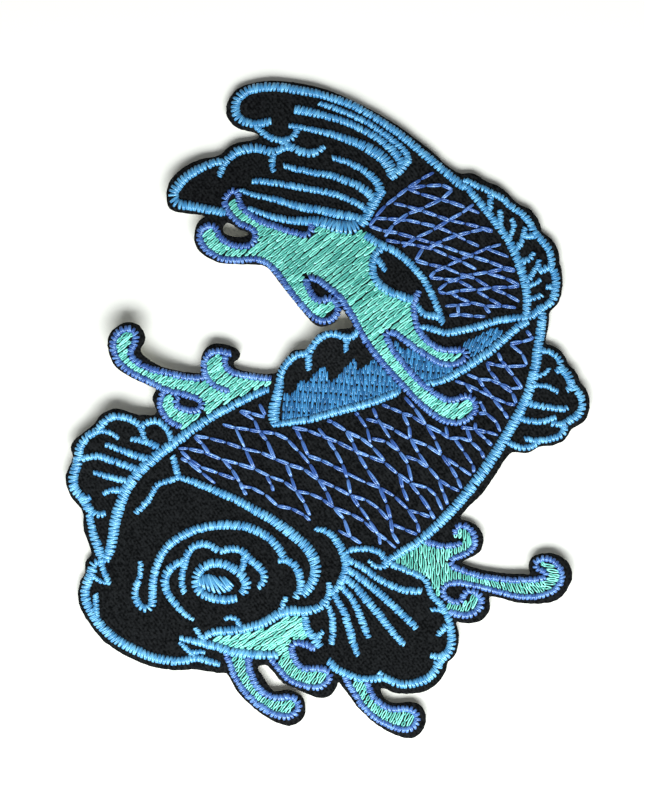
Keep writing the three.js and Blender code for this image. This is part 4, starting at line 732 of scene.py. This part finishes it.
def add_noise(tree, place, size, detail):
    noise = add_node(tree, "ShaderNodeTexNoise")
    noise.inputs["Scale"].default_value = 1 / (size * MM)
    noise.inputs["Detail"].default_value = detail
    tree.links.new(place.outputs["Object"], noise.inputs["Vector"])
    return noise.outputs["Fac"]


def mix_colours(tree, shader, share, first, second):
    mix = add_node(tree, "ShaderNodeMix", data_type="RGBA")
    tree.links.new(share, mix.inputs["Factor"])
    mix.inputs["A"].default_value = (*first, 1)
    mix.inputs["B"].default_value = (*second, 1)
    tree.links.new(mix.outputs["Result"], shader.inputs["Base Color"])


def add_bump(tree, shader, height, strength, depth):
    bump = add_node(tree, "ShaderNodeBump")
    bump.inputs["Strength"].default_value = strength
    bump.inputs["Distance"].default_value = depth * MM
    tree.links.new(height, bump.inputs["Height"])
    tree.links.new(bump.outputs["Normal"], shader.inputs["Normal"])


def thread_material(name):
    """Glossy twisted thread: each strand has its own tone between a painted shaded and a painted lit
    colour, and the plies wind round it under painted shade and light.
    """
    shaded, lit = THREAD_COLOURS[name]
    material, tree, shader = new_material(name, lit, THREAD_ROUGHNESS)
    tone = add_node(tree, "ShaderNodeAttribute", attribute_name="tone")
    lay = add_node(tree, "ShaderNodeAttribute", attribute_name="lay")
    parts = add_node(tree, "ShaderNodeSeparateXYZ")
    tree.links.new(lay.outputs["Vector"], parts.inputs["Vector"])
    angle = add_math(tree, "ARCTAN2", parts.outputs["Y"], parts.outputs["Z"])
    plies = add_math(tree, "MULTIPLY", angle, PLIES)
    wound = add_math(tree, "MULTIPLY_ADD", parts.outputs["X"], PLY_TWIST, plies)
    ply = add_math(tree, "SINE", wound)
    # painted shade and light: the strand's random tone picks between its painted shaded and lit
    # colours, and the ply wave darkens and lightens it round the thread
    share = add_math(tree, "MULTIPLY_ADD", ply, PLY_SHADE, tone.outputs["Fac"])
    mix_colours(tree, shader, share, shaded, lit)
    add_bump(tree, shader, ply, *PLY_BUMP)
    shader.inputs["Specular IOR Level"].default_value = THREAD_GLOSS
    shader.inputs["Specular Tint"].default_value = (*THREAD_GLOSS_TINT, 1)
    shader.inputs["Sheen Weight"].default_value = THREAD_SHEEN
    return material


def twill_material():
    """Black twill: faint diagonal ribs under a fine mottle of painted glints where the yarns catch the
    light.
    """
    material, tree, shader = new_material("black_twill", TWILL_PLAIN, TWILL_ROUGHNESS)
    place = add_node(tree, "ShaderNodeTexCoord")
    turned = add_node(tree, "ShaderNodeMapping")
    turned.inputs["Rotation"].default_value = (0, 0, math.radians(RIB_ANGLE))
    tree.links.new(place.outputs["Object"], turned.inputs["Vector"])
    ribs = add_node(tree, "ShaderNodeTexWave", wave_type="BANDS", bands_direction="X")
    ribs.inputs["Scale"].default_value = WAVE_LENGTH / (RIB_STEP * MM)
    ribs.inputs["Distortion"].default_value = RIB_WAVER
    ribs.inputs["Detail"].default_value = 1
    tree.links.new(turned.outputs["Vector"], ribs.inputs["Vector"])
    painted_glints = add_noise(tree, place, SPECK_SIZE, detail=3)
    mottle = add_math(tree, "MULTIPLY_ADD", ribs.outputs["Fac"], RIB_SHARE, painted_glints)
    ramp = add_node(tree, "ShaderNodeValToRGB")
    for element, position, tone in zip(ramp.color_ramp.elements, TWILL_RAMP, TWILL_TONES):
        element.position = position
        element.color = (*tone, 1)
    tree.links.new(mottle, ramp.inputs["Fac"])
    tree.links.new(ramp.outputs["Color"], shader.inputs["Base Color"])
    add_bump(tree, shader, mottle, *CLOTH_BUMP)
    shader.inputs["Specular IOR Level"].default_value = TWILL_GLOSS
    return material


def mottled_material(name, dark, pale, size, roughness):
    """A felted or cast surface with soft mottling, for the stabilizer and the film."""
    material, tree, shader = new_material(name, pale, roughness)
    place = add_node(tree, "ShaderNodeTexCoord")
    mottle = add_noise(tree, place, size, detail=4)
    mix_colours(tree, shader, mottle, dark, pale)
    add_bump(tree, shader, mottle, *CLOTH_BUMP)
    return material


# ---- Building the patch ----
def add_piece(name, mesh, node_name, slot, material):
    piece = bpy.data.objects.new(name, mesh)
    bpy.context.scene.collection.objects.link(piece)
    mesh.materials.append(material)
    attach(piece, "root")
    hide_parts(node_name)
    return piece


def add_sheets(materials):
    """The twill, the stabilizer and the film, all cut along the twill's outline."""
    node = frame["nodes"]["twill_ground"]
    top = max(v.co.z for v in node.data.vertices)
    loops = [even_loop(loop, CLOTH_STEP) for loop in edge_loops(node, top)]
    loops.sort(key=lambda loop: -abs(signed_area(loop)))
    for i, loop in enumerate(loops):
        if (signed_area(loop) > 0) != (i == 0):
            loops[i] = loop[::-1].copy()
        loops[i] += outward(loops[i]) * RNG.normal(0, CUT_JITTER, len(loop))[:, None]
    area = sum(signed_area(loop) for loop in loops) * MM * MM
    for name, node_name, outset, _ in SHEETS:
        low, high = (corner.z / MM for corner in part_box(node_name))
        mesh = sheet_mesh(name, loops, outset, low, high)
        slot = SLOTS[node_name]
        add_piece(name, mesh, node_name, slot, materials[slot])


def add_threads(materials):
    """Sews every thread node: satin and running stitches along its ridges, fills over its top."""
    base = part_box("twill_ground")[1].z / MM
    names = [name for name in frame["nodes"] if name.endswith("_threads")]
    lines = {name: ridge_lines(frame["nodes"][name]) for name in names if name not in FILLS}
    sides = {name: np.concatenate([rounded(line) for line in each]) for name, each in lines.items()}
    for name in names:
        if name in FILLS:
            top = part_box(name)[1].z
            laid = fill(edge_loops(frame["nodes"][name], top), *FILLS[name], base)
        elif name.endswith("bobbin_threads"):
            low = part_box(name)[0].z / MM
            laid = pooled([satin(line, low, BOBBIN_ARCH, BOBBIN_HALF_WIDTH) for line in lines[name]])
        elif name.endswith("scale_threads"):
            laid = pooled([running(line, base) for line in lines[name]])
        else:
            others = np.concatenate([
                side for other, side in sides.items()
                if other != name and not other.endswith(("bobbin_threads", "scale_threads"))
            ])
            slant = SLANTS.get(name, 0.0)
            laid = pooled([
                satin(tucked(line, others), base, slant=slant) for line in lines[name] if len(line) > 1
            ])
        piece_name = name.replace("_threads", "_stitches")
        add_piece(piece_name, thread_mesh(piece_name, laid), name, SLOTS[name], materials[SLOTS[name]])


# ---- Setting the table, light and camera ----
def add_table():
    mesh = bpy.data.meshes.new("table")
    half = TABLE_HALF
    corners = [(-half, -half, 0), (half, -half, 0), (half, half, 0), (-half, half, 0)]
    mesh.from_pydata(corners, [], [(0, 1, 2, 3)])
    table = bpy.data.objects.new("table", mesh)
    material, _, shader = new_material("pale_table", TABLE_COLOUR, TABLE_ROUGHNESS)
    shader.inputs["Specular IOR Level"].default_value = TABLE_GLOSS
    mesh.materials.append(material)
    bpy.context.scene.collection.objects.link(table)


def add_lights():
    """A pale room, and one wide key light aimed at the patch."""
    world = bpy.data.worlds.new("room")
    world.use_nodes = True
    background = world.node_tree.nodes["Background"]
    background.inputs["Color"].default_value = (1, 1, 1, 1)
    background.inputs["Strength"].default_value = ROOM_LIGHT
    bpy.context.scene.world = world
    light = bpy.data.lights.new("key", "AREA")
    light.energy = KEY_POWER
    light.shape = "RECTANGLE"
    light.size, light.size_y = KEY_SIZE
    lamp = bpy.data.objects.new("key", light)
    lamp.location = KEY_PLACE
    aim = Vector((0, 0, 0)) - Vector(KEY_PLACE)
    lamp.rotation_euler = aim.to_track_quat("-Z", "Y").to_euler()
    bpy.context.scene.collection.objects.link(lamp)


def add_camera():
    """A camera straight above, whose sensor's long side lies along the picture's height."""
    camera = bpy.data.cameras.new("camera")
    camera.lens = LENS
    camera.sensor_width = SENSOR
    holder = bpy.data.objects.new("camera", camera)
    distance = VIEW_HEIGHT / 2 / (SENSOR / 2 / LENS)
    x, y, z = VIEW_MIDDLE
    holder.location = (x, y, z + distance)
    bpy.context.scene.collection.objects.link(holder)
    bpy.context.scene.camera = holder


# ---- The whole scene ----
add_camera()
materials = {name: thread_material(name) for name in THREAD_COLOURS}
materials["black_twill"] = twill_material()
for name, looks in MOTTLED.items():
    materials[name] = mottled_material(name, *looks)
add_table()
add_sheets(materials)
add_threads(materials)
add_lights()
bpy.context.scene.view_settings.view_transform = "Standard"
